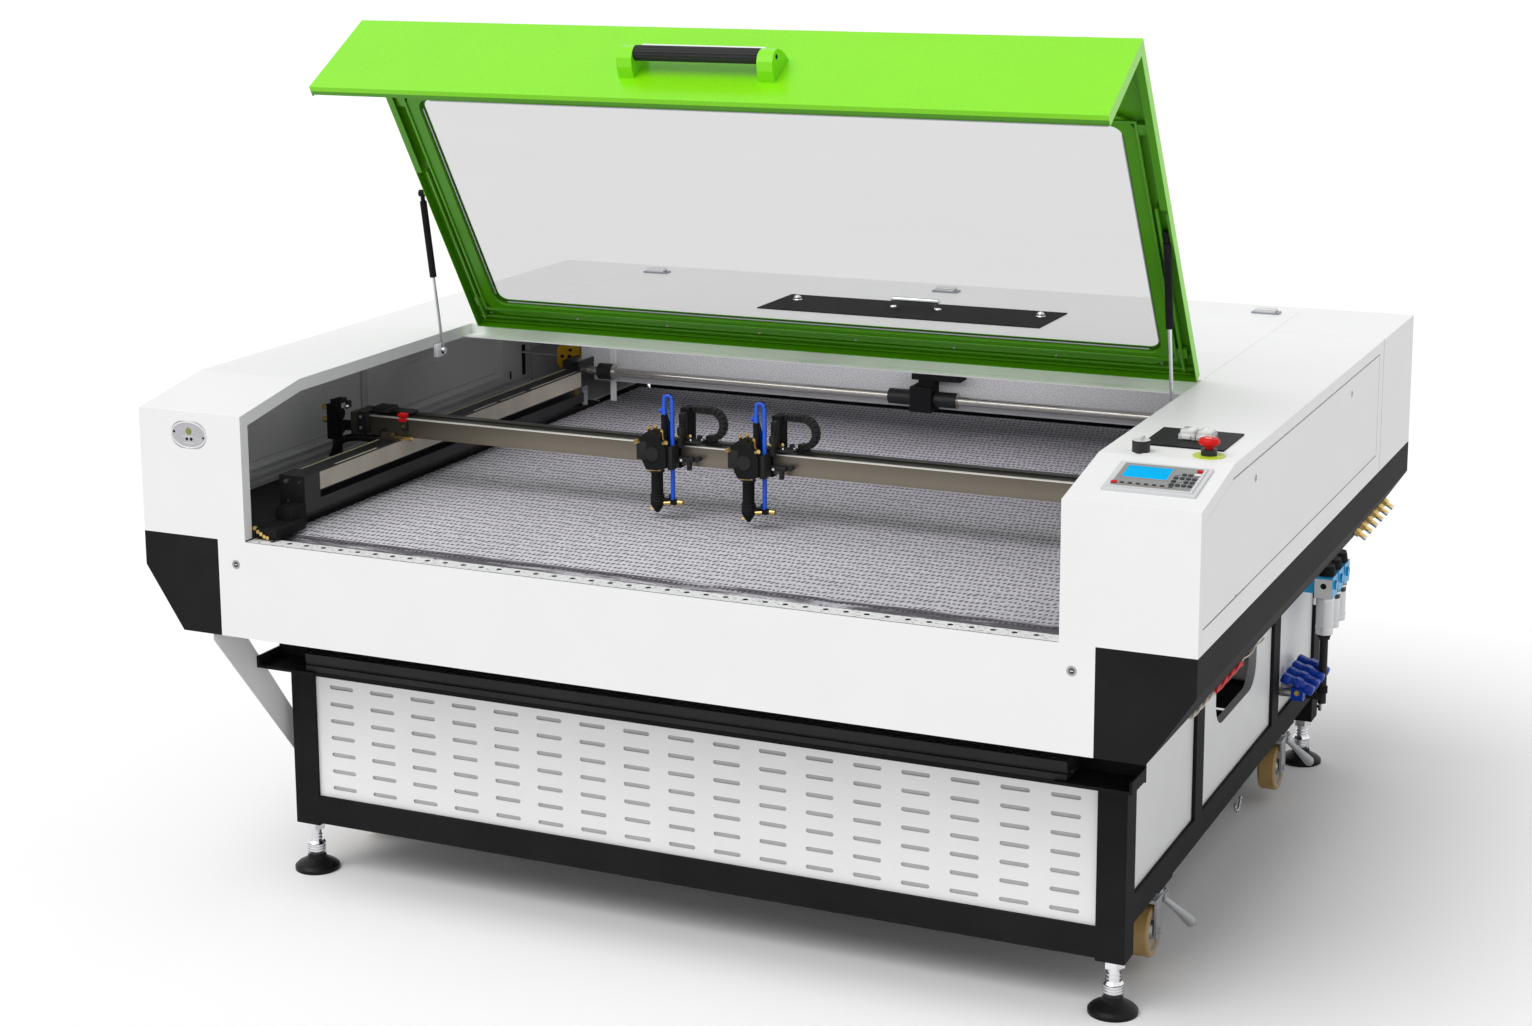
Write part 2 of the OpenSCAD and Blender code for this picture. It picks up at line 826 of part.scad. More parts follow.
module conveyor_bed() {
    table_top = belt_z - belt_t - clear;
    color(pale) at_front() {
        difference() {
            both_sides() {
                block([bed_in, sheet, bed_low], [bed_out, rear_roller_y + 65, table_top - table_t]);
                for (y = [leg_front + tube + 100, (leg_front + rear_leg_y) / 2, rear_leg_y - 150])
                    block([bed_out, y - 30, table_top - 38], [leg_in, y + 30, table_top - table_t]);
                block([bed_in, 50, table_top - table_t], [bed_in + 14, 110, housing_z - 2]);
            }
            for (y = [roller_front, rear_roller_y])
                rod_x(-half_w, half_w, y, roller_z, journal_d + 2 * fit);
            both_sides() block(
                [bed_in - eps, -eps, housing_z - 26],
                [bed_out + eps, sheet + lip_d + 1, housing_z + eps]
            );
        }
        block(
            [-bed_out, roller_front + 64, table_top - table_t],
            [bed_out, rear_roller_y - 64, table_top]
        );
    }
}

module roller(y) {
    color(steel) {
        difference() {
            rod_x(-half_belt + 5, half_belt - 5, y, roller_z, roller_d);
            rod_x(-half_belt + 15, half_belt - 15, y, roller_z, roller_d - 10);
        }
        rod_x(-bed_out - 4, bed_out + 4, y, roller_z, journal_d);
    }
}

module front_roller() {
    at_front() roller(roller_front);
}

module rear_roller() {
    at_front() roller(rear_roller_y);
}

module conveyor_motor() {
    y = rear_roller_y;
    color(black) at_front() {
        difference() {
            union() {
                block([bed_out, y - 45, roller_z - 75], [leg_in - clear, y + 40, roller_z + 40]);
                block([bed_out, y - 45, roller_z - 75], [bed_out + 56, y + 40, roller_z - 5]);
            }
            rod_x(bed_out - eps, bed_out + 8, y, roller_z, journal_d + 2);
        }
        rod_y(y - 190, y - 45, bed_out + 31, roller_z - 40, 54);
    }
}

// Guide rails and their drive

module guide_rail() {
    rear = shaft_y - 40;
    block([rail_in, rail_front + rail_bracket, rail_z - rail_h], [rail_out, rear, rail_z]);
    block([rail_in - 5, rail_front, rail_z - 82], [rail_out + 10, rail_front + rail_bracket, rail_z]);
    block([rail_in + 25, rail_front + 20, floor_z], [rail_out - 5, rear, rail_z - rail_h]);
    block([rail_in - 5, rail_front + 25, floor_z + 24], [rail_in, rear, rail_z - rail_h - 14]);
    block([rail_in, rail_front + 25, floor_z + 30], [rail_in + 25, rear, floor_z + 36]);
    difference() {
        for (x = [rail_in, rail_out - 6])
            block([x, rear - 10, rail_z - rail_h], [x + 6, shaft_y + 28, shaft_z + 30]);
        rod_x(rail_in - eps, rail_out + eps, shaft_y, shaft_z, shaft_d + 2 * fit);
    }
}

module guide_rails() {
    color(black) at_front() both_sides() guide_rail();
}

module drive_shaft() {
    color(steel) at_front() {
        rod_x(-rail_out - 5, rail_out + 5, shaft_y, shaft_z, shaft_d);
        both_sides() {
            rod_x(rail_in - 73, rail_in - 32, shaft_y, shaft_z, shaft_d + 20);
            rod_x(rail_in + 10, rail_out - 10, shaft_y, shaft_z, shaft_d + 14);
        }
        rod_x(-22, 38, shaft_y, shaft_z, shaft_d + 16);
        rod_x(97, 155, shaft_y, shaft_z, shaft_d + 16);
    }
}

module shaft_bearing() {
    color(black) at_front() {
        difference() {
            block([40, shaft_y - 28, shaft_z - 30], [95, baffle_y - strip_t, shaft_z + 32]);
            rod_x(40 - eps, 95 + eps, shaft_y, shaft_z, shaft_d + 2 * fit);
        }
        block([56, shaft_y - 10, shaft_z + 30], [95, baffle_y, shaft_z + 50]);
        block([40, shaft_y - 15, shaft_z + 48], [165, baffle_y, shaft_z + 62]);
        block([55, baffle_y + sheet, shaft_z - 25], [141, baffle_y + sheet + 90, shaft_z + 61]);
    }
}

module rear_baffle() {
    low = housing_z + 72;
    post_x = half_open - 100;
    color(pale) at_front() {
        block([-half_open, baffle_y, low], [half_open, baffle_y + sheet, deck_z - fold - 2]);
        block([-rail_in + 10, baffle_y - strip_t, low], [rail_in - 10, baffle_y, low + 18]);
        both_sides() {
            block([bed_out - 8, baffle_y, floor_z], [half_open, baffle_y + sheet, low]);
            block([post_x, baffle_y - strip_t, housing_z + 20], [post_x + 16, baffle_y, deck_z - fold - 2]);
            block([post_x, baffle_y - strip_t, housing_z + 20], [post_x + 16, baffle_y + sheet, low]);
        }
    }
}

module laser_tube() {
    half = half_w - laser_side;
    color([0.86, 0.90, 0.92]) at_front() {
        rod_x(-half, half, laser_y, laser_z, laser_d);
        for (s = [-1, 1])
            rod_x(s > 0 ? half : -half - 40, s > 0 ? half + 40 : -half, laser_y, laser_z, laser_d * 0.6);
        for (x = [-half * 0.6, half * 0.6])
            difference() {
                block([x - 15, laser_y - 55, shelf_z], [x + 15, laser_y + 55, laser_z + 10]);
                rod_x(x - 16, x + 16, laser_y, laser_z, laser_d);
                block(
                    [x - 16, laser_y - laser_d / 2, laser_z],
                    [x + 16, laser_y + laser_d / 2, laser_z + 30]
                );
            }
    }
}

module corner_mirror() {
    x = half_open + 56;
    y = baffle_y + 30;
    color([0.95, 0.72, 0.10]) at_front() mirror([1, 0, 0]) difference() {
        union() {
            block([x - 15, y + 5, floor_z], [x + 15, y + 20, shaft_z]);
            along_y(y, y + 12) translate([x, shaft_z + 16]) rounded(66, 62, 18);
            rod_y(y + 12, y + 28, x, shaft_z + 16, 34);
        }
        rod_y(y - 1, y + 4, x, shaft_z + 16, 20);
        for (p = [[-20, 20], [20, 20], [0, -22]])
            rod_y(y - 1, y + 3, x + p[0], shaft_z + 16 + p[1], 5);
    }
}

// Gantry

module gantry_beam() {
    color([0.55, 0.50, 0.44]) at_front() {
        difference() {
            block([-half_beam, beam_y, beam_z], [half_beam, beam_back, beam_top]);
            block(
                [-half_beam - eps, beam_y + beam_wall, beam_z + beam_wall],
                [half_beam + eps, beam_back - beam_wall, beam_top - beam_wall]
            );
        }
        both_sides() {
            block([half_beam - 34, beam_y - 5, beam_z - 3], [half_beam, beam_back + 15, beam_top + 4]);
            block([rail_in, beam_y - 20, rail_z + clear], [rail_out, beam_back + 20, beam_z]);
            block([rail_in + 8, beam_y - 16, beam_z - 1], [rail_out - 8, beam_y, beam_z + 12]);
        }
        block([-half_beam + 34, beam_y + 35, beam_top], [half_beam - 34, beam_back - 1, beam_top + tray_h]);
        cable_chain_down();
    }
}

// Chain that brings the cables from the housing to the left end of the beam
module cable_chain_down() {
    r = 34;
    y0 = beam_y + 24;
    mirror([1, 0, 0]) {
        block([half_beam, y0, beam_z - 3], [half_beam + 30, y0 + 20, beam_z + 11]);
        translate([half_beam + 30, y0, beam_z + 4 - r]) rotate([-90, 0, 0])
            rotate([0, 0, -90]) rotate_extrude(angle = 90) translate([r - 7, 0]) square([14, 20]);
        block(
            [half_beam + 30 + r - 7, y0, beam_z - 76],
            [half_beam + 30 + r + 7, y0 + 20, beam_z + 4 - r]
        );
    }
}

module beam_mirror() {
    x = half_beam + 50;
    y = beam_y;
    color(black) at_front() mirror([1, 0, 0]) {
        block([half_beam, y, beam_z + 12], [x + 13, y + 14, beam_z + 24]);
        block([x - 13, y - 8, beam_z - 20], [x + 13, y + 14, beam_top + 18]);
        rod_x(x + 13, x + 30, y + 3, beam_top + 8, 7);
        rod_x(x + 13, x + 30, y + 3, beam_top - 24, 7);
        rod_x(x - 22, x - 13, y + 3, beam_top - 4, 26);
        rod_z(beam_top + 18, beam_top + 28, x, y + 3, 16);
    }
}

module head() {
    mount_y = beam_y - clear;
    plate_y = mount_y - 5;
    body_z = beam_z - 3;
    body_front = head_y - 27;
    hose_x = 38;
    leg_gap = 19;
    hose_r = leg_gap / 2;
    post_top = hose_top - 50;
    chain_r = 31;
    chain_t = 12;
    chain_y = beam_y + 38;
    chain_low = beam_top + tray_h + clear;
    chain_x = 93;
    fit_z = nozzle_z + 26;
    // Carriage round the front of the beam
    block([-45, plate_y, beam_z - 6], [45, mount_y, beam_top + 6]);
    block([-45, plate_y, beam_top + clear], [45, beam_y + 30, beam_top + 6]);
    block([-45, plate_y, beam_z - 6], [45, beam_y + 30, beam_z - clear]);
    // Mirror housing
    along_y(body_front, plate_y) polygon([
        [-34, body_z + 64], [-14, body_z + 81], [18, body_z + 74], [34, body_z + 48],
        [34, body_z + 6], [13, body_z], [-13, body_z], [-22, body_z + 18]
    ]);
    // Lens tube, collar and nozzle
    rod_z(nozzle_z + 20, body_z, 0, head_y, lens_tube_d);
    rod_z(nozzle_z + 18, nozzle_z + 32, 0, head_y, lens_tube_d + 4);
    translate([0, head_y, nozzle_z]) cylinder(h = 18, d1 = 8, d2 = lens_tube_d + 4);
    // Air fitting, hose and the post that it ends on
    block([0, head_y - 6, fit_z - 6], [hose_x + 6, head_y + 6, fit_z + 6]);
    rod_x(hose_x + 6, hose_x + 20, head_y, fit_z, 12);
    rod_z(fit_z, hose_top - hose_r - hose_d / 2, hose_x, head_y, hose_d);
    translate([hose_x - hose_r, head_y, hose_top - hose_r - hose_d / 2]) rotate([90, 0, 0])
        rotate_extrude(angle = 180) translate([hose_r, 0]) circle(d = hose_d);
    rod_z(post_top - 4, hose_top - hose_r - hose_d / 2, hose_x - leg_gap, head_y, hose_d);
    rod_z(beam_z, post_top, hose_x - leg_gap, head_y, 14);
    // Cable chain loop behind the carriage
    block([33, beam_y + 20, beam_top + 4], [53, chain_y + 18, chain_low + 2 * chain_r + chain_t]);
    block(
        [53, chain_y, chain_low + 2 * chain_r],
        [chain_x, chain_y + 18, chain_low + 2 * chain_r + chain_t]
    );
    translate([chain_x, chain_y + 18, chain_low + chain_r + chain_t / 2]) rotate([90, 0, 0])
        rotate([0, 0, -90]) rotate_extrude(angle = 180)
            translate([chain_r - chain_t / 2, 0]) square([chain_t, 18]);
    block([chain_x - 8, chain_y, chain_low], [chain_x, chain_y + 18, chain_low + chain_t]);
}

module left_head() {
    color(black) at_front() translate([left_head_x, 0, 0]) head();
}

module right_head() {
    color(black) at_front() translate([right_head_x, 0, 0]) head();
}

// Controls on the right housing

module control_panel() {
    screen_w = 88;
    screen_h = 56;
    color([0.62, 0.64, 0.66]) at_front() on_slope(panel_x, panel_y) difference() {
        union() {
            block([-panel_w / 2, -panel_h / 2, 0], [panel_w / 2, panel_h / 2, 5]);
            block([-panel_w / 2 + 8, -panel_h / 2 + 8, 0], [panel_w / 2 - 8, panel_h / 2 - 8, 8]);
            block(
                [-panel_w / 2 + 6 + clear, -panel_h / 2 + 6 + clear, -30],
                [panel_w / 2 - 6 - clear, panel_h / 2 - 6 - clear, 0]
            );
            for (i = [0 : 6])
                translate([-panel_w / 2 + 30 + i * 15, -panel_h / 2 + 22, 8])
                    block([-5, -4, 0], [5, 4, 1.5]);
            for (i = [0 : 3], j = [0 : 3])
                translate([panel_w / 2 - 54 + i * 12, -panel_h / 2 + 36 + j * 15, 8])
                    cylinder(h = 1.5, d = 8);
        }
        block(
            [-panel_w / 2 + 20, panel_h / 2 - 20 - screen_h, 7],
            [-panel_w / 2 + 20 + screen_w, panel_h / 2 - 20, 9]
        );
    }
}

module estop_base() {
    color([0.80, 0.85, 0.10]) at_front() difference() {
        union() {
            rod_z(deck_z, deck_z + 2, stop_x, stop_y, 60);
            rod_z(deck_z, deck_z + collar_h, stop_x, stop_y, 30);
            rod_z(deck_z - 40, deck_z, stop_x, stop_y, stop_stem_d);
        }
        rod_z(deck_z - 30, deck_z + collar_h + eps, stop_x, stop_y, 16 + 2 * fit);
    }
}

module estop_button() {
    cap_z = deck_z + collar_h + stop_travel + 1;
    color([0.85, 0.08, 0.08]) at_front() translate([stop_x, stop_y, 0]) {
        rod_z(deck_z - 30 + stop_travel + 1, cap_z + 2, 0, 0, 16);
        translate([0, 0, cap_z]) rotate_extrude() polygon([
            [0, 0], [mushroom_d * 0.34, 0], [mushroom_d / 2, 5],
            [mushroom_d / 2, 10], [mushroom_d * 0.42, 14], [mushroom_d * 0.2, 16], [0, 16.5]
        ]);
    }
}

module key_switch() {
    color(black) at_front() translate([key_x, key_y, 0]) {
        rod_z(deck_z - 20, deck_z + 2, 0, 0, key_stem_d);
        rod_z(deck_z + clear, deck_z + 24, 0, 0, key_d);
        block([-3, -key_d / 2 + 2, deck_z + 24], [3, key_d / 2 - 2, deck_z + 29]);
    }
}

module port_plate() {
    w = port_plate_w;
    d = port_plate_d;
    color(black) at_front() translate([ports_x, ports_y, deck_z]) {
        block([-w / 2, -d / 2, 0], [w / 2, d / 2, 3]);
        for (x = [-9, 25])
            translate([x, 5, 0]) {
                block([-16, -20, 3], [16, 20, 13]);
                block([-13, -16, 13], [13, 16, 20]);
                block([-13, -16, -30], [13, 16, 0]);
            }
    }
}

// Cover and hatch over the back

module rear_cover() {
    edge = half_open - seam;
    hatch_y = cover_end - hatch_rear - hatch_d;
    color(white) at_front() {
        difference() {
            block([-edge, cover_y, deck_z - fold], [edge, cover_end - seam, deck_z]);
            block(
                [-edge + sheet, cover_y + sheet, deck_z - fold - eps],
                [edge - sheet, cover_end - seam - sheet, deck_z - sheet]
            );
            block(
                [hatch_x - hatch_w / 2 + 15, hatch_y + 15, deck_z - sheet - eps],
                [hatch_x + hatch_w / 2 - 15, hatch_y + hatch_d - 15, deck_z + eps]
            );
        }
        for (x = [-half_open + 72, 0, half_open - 72]) {
            block([x - 32, cover_end - 56, deck_z], [x + 32, cover_end - 22, deck_z + 4]);
            block([x - 24, cover_end - 52, deck_z + 4], [x + 24, cover_end - 30, deck_z + 11]);
        }
    }
}

module rear_hatch() {
    hatch_y = cover_end - hatch_rear - hatch_d;
    mid = hatch_y + hatch_d / 2;
    color(black) at_front() {
        block(
            [hatch_x - hatch_w / 2, hatch_y, deck_z],
            [hatch_x + hatch_w / 2, hatch_y + hatch_d, deck_z + 2.5]
        );
        for (s = [-1, 1])
            rod_z(deck_z + 2.5, deck_z + 8, hatch_x + s * (hatch_w / 2 - 45), mid + 40, 20);
        for (s = [-1, 1])
            rod_z(deck_z + 2.5, deck_z + 18, hatch_x + s * 46, mid + 32, 12);
        rod_x(hatch_x - 58, hatch_x + 58, mid + 32, deck_z + 22, 12);
    }
}

// Base

module base_legs() {
    color(black) at_front() difference() {
        both_sides() {
            for (y = [leg_front, rear_leg_y])
                block([leg_in, y, leg_z], [half_base, y + tube, housing_z]);
            for (y = [post_1, post_2])
                block([leg_in, y, side_beam_z], [half_base, y + tube, housing_z]);
        }
        for (p = foot_places)
            rod_z(leg_z - eps, leg_z + 62, p[0], p[1], stem_d + 1);
    }
}

module cross_beams() {
    color(black) at_front() {
        for (y = [leg_front, rear_leg_y]) {
            block([-leg_in, y, front_beam_z], [leg_in, y + tube, front_beam_z + tube + 3]);
            block([-leg_in, y, skirt_z + 13], [leg_in, y + tube, skirt_z + 13 + tube]);
        }
        block([-leg_in, leg_front, upper_beam_z], [leg_in, leg_front + tube, upper_beam_z + tube]);
        for (y = [post_1, post_2])
            block([-leg_in, y, side_beam_z], [leg_in, y + tube, side_beam_z + tube - 2]);
    }
}

module side_beams() {
    spans = [[leg_front + tube, post_1], [post_1 + tube, post_2], [post_2 + tube, rear_leg_y]];
    color(black) at_front() both_sides() {
        for (s = spans) {
            block([leg_in, s[0], side_beam_z], [half_base, s[1], side_beam_z + tube - 2]);
            block([leg_in, s[0], housing_z - tube], [half_base, s[1], housing_z]);
        }
        for (y = [caster_front_y, caster_rear_y])
            block(
                [caster_x - 45, y - 50, side_beam_z - caster_plate_t],
                [caster_x + 33, y + 50, side_beam_z]
            );
        rod_y(post_1 + tube + 325, post_1 + tube + 331, leg_x + 10, side_beam_z - 6, 14);
    }
}

module slotted_panel() {
    y = leg_front + panel_inset;
    low = front_beam_z + tube + 3;
    mid = (low + upper_beam_z) / 2;
    slot_pitch_x = 2 * (leg_in - slot_side) / (slot_columns - 1);
    slot_pitch_z = (upper_beam_z - low - 2 * slot_foot) / (slot_rows - 1);
    color(white) at_front() difference() {
        block([-leg_in, y, low], [leg_in, y + sheet, upper_beam_z]);
        for (i = [0 : slot_columns - 1], j = [0 : slot_rows - 1])
            translate([
                (i - (slot_columns - 1) / 2) * slot_pitch_x, 0,
                mid + (j - (slot_rows - 1) / 2) * slot_pitch_z
            ]) {
                block(
                    [-(slot_l - slot_h) / 2, y - eps, -slot_h / 2],
                    [(slot_l - slot_h) / 2, y + sheet + eps, slot_h / 2]
                );
                for (s = [-1, 1])
                    rod_y(y - eps, y + sheet + eps, s * (slot_l - slot_h) / 2, 0, slot_h);
            }
    }
}

module bay_panel(side, y0, y1) {
    x = half_base - panel_inset;
    mirror([side < 0 ? 1 : 0, 0, 0])
        block([x - sheet, y0, side_beam_z + tube - 2], [x, y1, housing_z - tube]);
}

module base_panels() {
    rear_y = rear_leg_y + tube - panel_inset;
    color(pale) at_front() {
        block([-leg_in, rear_y - sheet, front_beam_z + tube + 3], [leg_in, rear_y, skirt_z + 13]);
        bay_panel(1, leg_front + tube, post_1);
        bay_panel(1, post_2 + tube, rear_leg_y);
        bay_panel(-1, leg_front + tube, post_1);
        bay_panel(-1, post_1 + tube, post_2);
        bay_panel(-1, post_2 + tube, rear_leg_y);
    }
}

module window_panel() {
    x = half_base - panel_inset;
    y = post_1 + tube + mid_bay * 0.4861;
    z = side_beam_z + tube + 139 + port_h / 2;
    color(pale) at_front() difference() {
        union() {
            bay_panel(1, post_1 + tube, post_2);
            along_x(x - 18, x) translate([y, z]) rounded(port_w + 8, port_h + 8, port_r + 4);
        }
        along_x(x - 19, x + eps) translate([y, z]) rounded(port_w, port_h, port_r);
    }
}

module levelling_feet() {
    color(black) at_front() for (p = foot_places) translate([p[0], p[1], 0]) {
        rotate_extrude() polygon([
            [0, 0], [foot_d / 2, 0], [foot_d / 2, 8], [foot_d * 0.44, 14],
            [foot_d * 0.22, 26], [foot_d * 0.2, 36], [0, 36]
        ]);
        rod_z(30, leg_z + 55, 0, 0, stem_d);
        rod_z(44, 60, 0, 0, stem_d + 10);
        translate([0, 0, leg_z - 18]) cylinder(h = 18, d = stem_d * 1.9, $fn = 6);
    }
}

module front_rail() {
    z = upper_beam_z + 42;
    y1 = leg_front - 3;
    y0 = y1 - 80;
    half = leg_in - 37;
    color(black) at_front() {
        difference() {
            block([-half, y0, z], [half, y1, z + 38]);
            for (i = [0 : 4])
                block([-half - eps, y0 + 10 + i * 14, z + 32], [half + eps, y0 + 16 + i * 14, z + 39]);
            block([-half - eps, y0 - eps, z + 12], [half + eps, y0 + 6, z + 20]);
        }
        both_sides() rod_x(half, half + 8, y0 + 20, z + 14, 12);
    }
}

module rail_brackets() {
    z = upper_beam_z + 42;
    color(black) at_front() for (s = [-1, 1]) {
        reach = leg_in + (s < 0 ? 84 : 95);
        mirror([s < 0 ? 1 : 0, 0, 0]) {
            block([leg_in - 60, leg_front - 93, z - 6], [reach, leg_front, z]);
            block([leg_in + 9, leg_front - 6, z - 10], [reach, leg_front, z + 54]);
            block([reach - 6, leg_front - 93, z - 6], [reach, leg_front, z + 20]);
        }
    }
}

module side_gusset() {
    x = half_base + 25;
    color(white) at_front() mirror([1, 0, 0]) {
        along_x(x, x + sheet) polygon([
            [0, skirt_z], [0, skirt_z - 13], [leg_front + 40, skirt_z - 349],
            [leg_front + tube, skirt_z - 349], [leg_front + tube, skirt_z - 275],
            [leg_front + 48, skirt_z - 266], [90, skirt_z]
        ]);
        block(
            [half_base, leg_front + tube - 14, skirt_z - 345],
            [x, leg_front + tube, skirt_z - 285]
        );
    }
}

// Casters

module caster_fork(side, y) {
    at_front() translate([side * caster_x, y, 0]) mirror([side < 0 ? 1 : 0, 0, 0]) {
        head_z = side_beam_z - caster_plate_t - clear;
        crown_z = head_z - 16;
        leg = wheel_w / 2 + 4;
        color(steel) {
            rod_z(crown_z - 5, head_z, 0, 0, 56);
            block([-leg - 5, -trail - 22, crown_z - 8], [leg + 5, 26, crown_z]);
            for (s = [-1, 1])
                block(
                    [s > 0 ? leg : -leg - 5, -trail - 18, axle_z - 14],
                    [s > 0 ? leg + 5 : -leg, -trail + 20, crown_z - 4]
                );
            rod_x(-leg - 8, leg + 8, -trail, axle_z, axle_d);
            hull() {
                translate([leg + 4, 14, crown_z - 20]) sphere(6, $fn = 16);
                translate([leg + 24, 34, axle_z + 26]) sphere(8, $fn = 16);
            }
            hull() {
                translate([leg + 24, 34, axle_z + 26]) sphere(8, $fn = 16);
                translate([leg + 46, 62, axle_z - 8]) sphere(12, $fn = 16);
            }
            block([leg, 0, crown_z - 22], [leg + 8, 24, crown_z - 4]);
        }
    }
}

module caster_wheel(side, y) {
    color([0.78, 0.60, 0.36]) at_front()
        translate([side * caster_x, y - trail, axle_z]) rotate([0, 90, 0])
            rotate_extrude($fn = 64) polygon([
                [axle_d / 2 + fit, -wheel_w / 2], [wheel_d * 0.16, -wheel_w / 2],
                [wheel_d * 0.18, -wheel_w / 2 + 6], [wheel_d * 0.36, -wheel_w / 2 + 6],
                [wheel_d * 0.38, -wheel_w / 2], [wheel_d / 2 - 3, -wheel_w / 2],
                [wheel_d / 2, -wheel_w / 2 + 4], [wheel_d / 2, wheel_w / 2 - 4],
                [wheel_d / 2 - 3, wheel_w / 2], [wheel_d * 0.38, wheel_w / 2],
                [wheel_d * 0.36, wheel_w / 2 - 6], [wheel_d * 0.18, wheel_w / 2 - 6],
                [wheel_d * 0.16, wheel_w / 2], [axle_d / 2 + fit, wheel_w / 2]
            ]);
}

// Air supply on the right of the base

module air_prep_unit() {
    x = air_x;
    z = skirt_z - 112;
    color(steel) at_front() {
        for (i = [0 : 2]) {
            y = air_front + i * filter_pitch;
            rod_z(bowl_low, z, x, y, bowl_d);
            block([x - 21, y - 28, z], [x + 21, y + 28, z + 51]);
            rod_z(z + 51, z + 77, x, y, bowl_d - 4);
            rod_x(x + 21, x + 26, y, z + 28, 22);
        }
        block(
            [half_base - panel_inset, air_front - 20, z + 8],
            [x - 21, air_front + 2 * filter_pitch + 20, z + 42]
        );
        for (i = [0 : 1]) {
            y = air_front + i * filter_pitch;
            rod_y(y + 28, y + filter_pitch - 28, x, z + 26, 20);
        }
    }
}

module lever_valves() {
    x = half_base + 42;
    z = side_beam_z + 119;
    for (i = [0 : 3]) {
        y = valve_front + i * valve_pitch;
        rod_x(half_base - panel_inset, x, y, z, 22);
        block([x - 14, y - 13, z - 15], [x + 14, y + 13, z + 15]);
        rod_z(z + 15, z + 26, x, y, 16);
        translate([x, y, z + 26]) rotate([0, 20, 0]) {
            block([-34, -9, -4], [34, 9, 4]);
            block([22, -9, -12], [34, 9, 4]);
            block([-34, -9, -12], [-22, 9, 4]);
        }
    }
}

module air_lines() {
    drop_x = air_x;
    tilt = atan2(skirt_h - skirt_upright, skirt_taper);
    fit_x = half_w - skirt_taper / 2;
    fit_z = (skirt_z + housing_z - skirt_upright) / 2;
    color(black) at_front() {
        lever_valves();
        rod_z(side_beam_z + 60, bowl_low, drop_x, air_front, 20);
        rod_z(bowl_low - 13, bowl_low, drop_x, air_front, 28);
        block(
            [half_base - panel_inset, air_front - 12, side_beam_z + 70],
            [drop_x, air_front + 12, side_beam_z + 88]
        );
        for (i = [0 : 5])
            translate([fit_x, cabinet_y - 15 + i * 62, fit_z]) rotate([0, 180 - tilt, 0]) {
                cylinder(h = 12, d = 20, $fn = 6);
                cylinder(h = 30, d = 12);
            }
    }
}

base_legs();
cross_beams();
side_beams();
slotted_panel();
window_panel();
base_panels();
levelling_feet();
front_rail();
rail_brackets();
side_gusset();
left_housing();
right_housing();
rear_cabinet();
front_panel();
skirts();
hinge_rail();
rear_baffle();
conveyor_belt();
conveyor_bed();
guide_rails();
conveyor_motor();
shaft_bearing();
laser_tube();
corner_mirror();
control_panel();
port_plate();
estop_base();
indicator_window();
air_prep_unit();
air_lines();
strut_mounts();
front_roller();
rear_roller();
lid_shell();
lid_window();
handle_ends();
handle_grip();
left_strut_rod();
left_strut_tube();
right_strut_rod();
right_strut_tube();
gantry_beam();
beam_mirror();
left_head();
right_head();
drive_shaft();
estop_button();
key_switch();
rear_cover();
rear_hatch();
right_door();
left_door();
caster_fork(-1, caster_front_y);  // front_left_fork
caster_fork(1, caster_front_y);  // front_right_fork
caster_fork(-1, caster_rear_y);  // rear_left_fork
caster_fork(1, caster_rear_y);  // rear_right_fork
caster_wheel(-1, caster_front_y);  // front_left_wheel
caster_wheel(1, caster_front_y);  // front_right_wheel
caster_wheel(-1, caster_rear_y);  // rear_left_wheel
caster_wheel(1, caster_rear_y);  // rear_right_wheel
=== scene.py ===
from math import atan2, cos, pi, radians, sin

import bmesh
import bpy
from mathutils import Matrix, Vector


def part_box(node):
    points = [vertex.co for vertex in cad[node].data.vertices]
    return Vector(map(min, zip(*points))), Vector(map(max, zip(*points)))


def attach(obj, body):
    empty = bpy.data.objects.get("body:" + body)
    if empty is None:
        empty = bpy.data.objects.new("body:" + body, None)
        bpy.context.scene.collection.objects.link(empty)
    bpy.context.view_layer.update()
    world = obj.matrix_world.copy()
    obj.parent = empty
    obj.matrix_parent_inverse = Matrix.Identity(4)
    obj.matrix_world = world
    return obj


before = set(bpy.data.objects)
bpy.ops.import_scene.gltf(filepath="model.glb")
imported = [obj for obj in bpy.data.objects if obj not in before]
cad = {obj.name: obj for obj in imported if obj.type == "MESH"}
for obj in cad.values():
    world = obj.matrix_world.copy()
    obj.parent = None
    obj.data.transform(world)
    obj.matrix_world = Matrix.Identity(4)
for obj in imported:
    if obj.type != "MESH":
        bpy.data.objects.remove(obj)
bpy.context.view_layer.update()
scene = bpy.context.scene

# Distance from the middle of the body's depth to its front face
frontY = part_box("front_panel")[0].y


def at(x, y, z):
    # x and z as in the frame, y from the front face, all in millimetres
    return Vector((x / 1000, y / 1000 + frontY, z / 1000))


def put(name, data):
    made = bpy.data.objects.new(name, data)
    scene.collection.objects.link(made)
    return made


# Camera

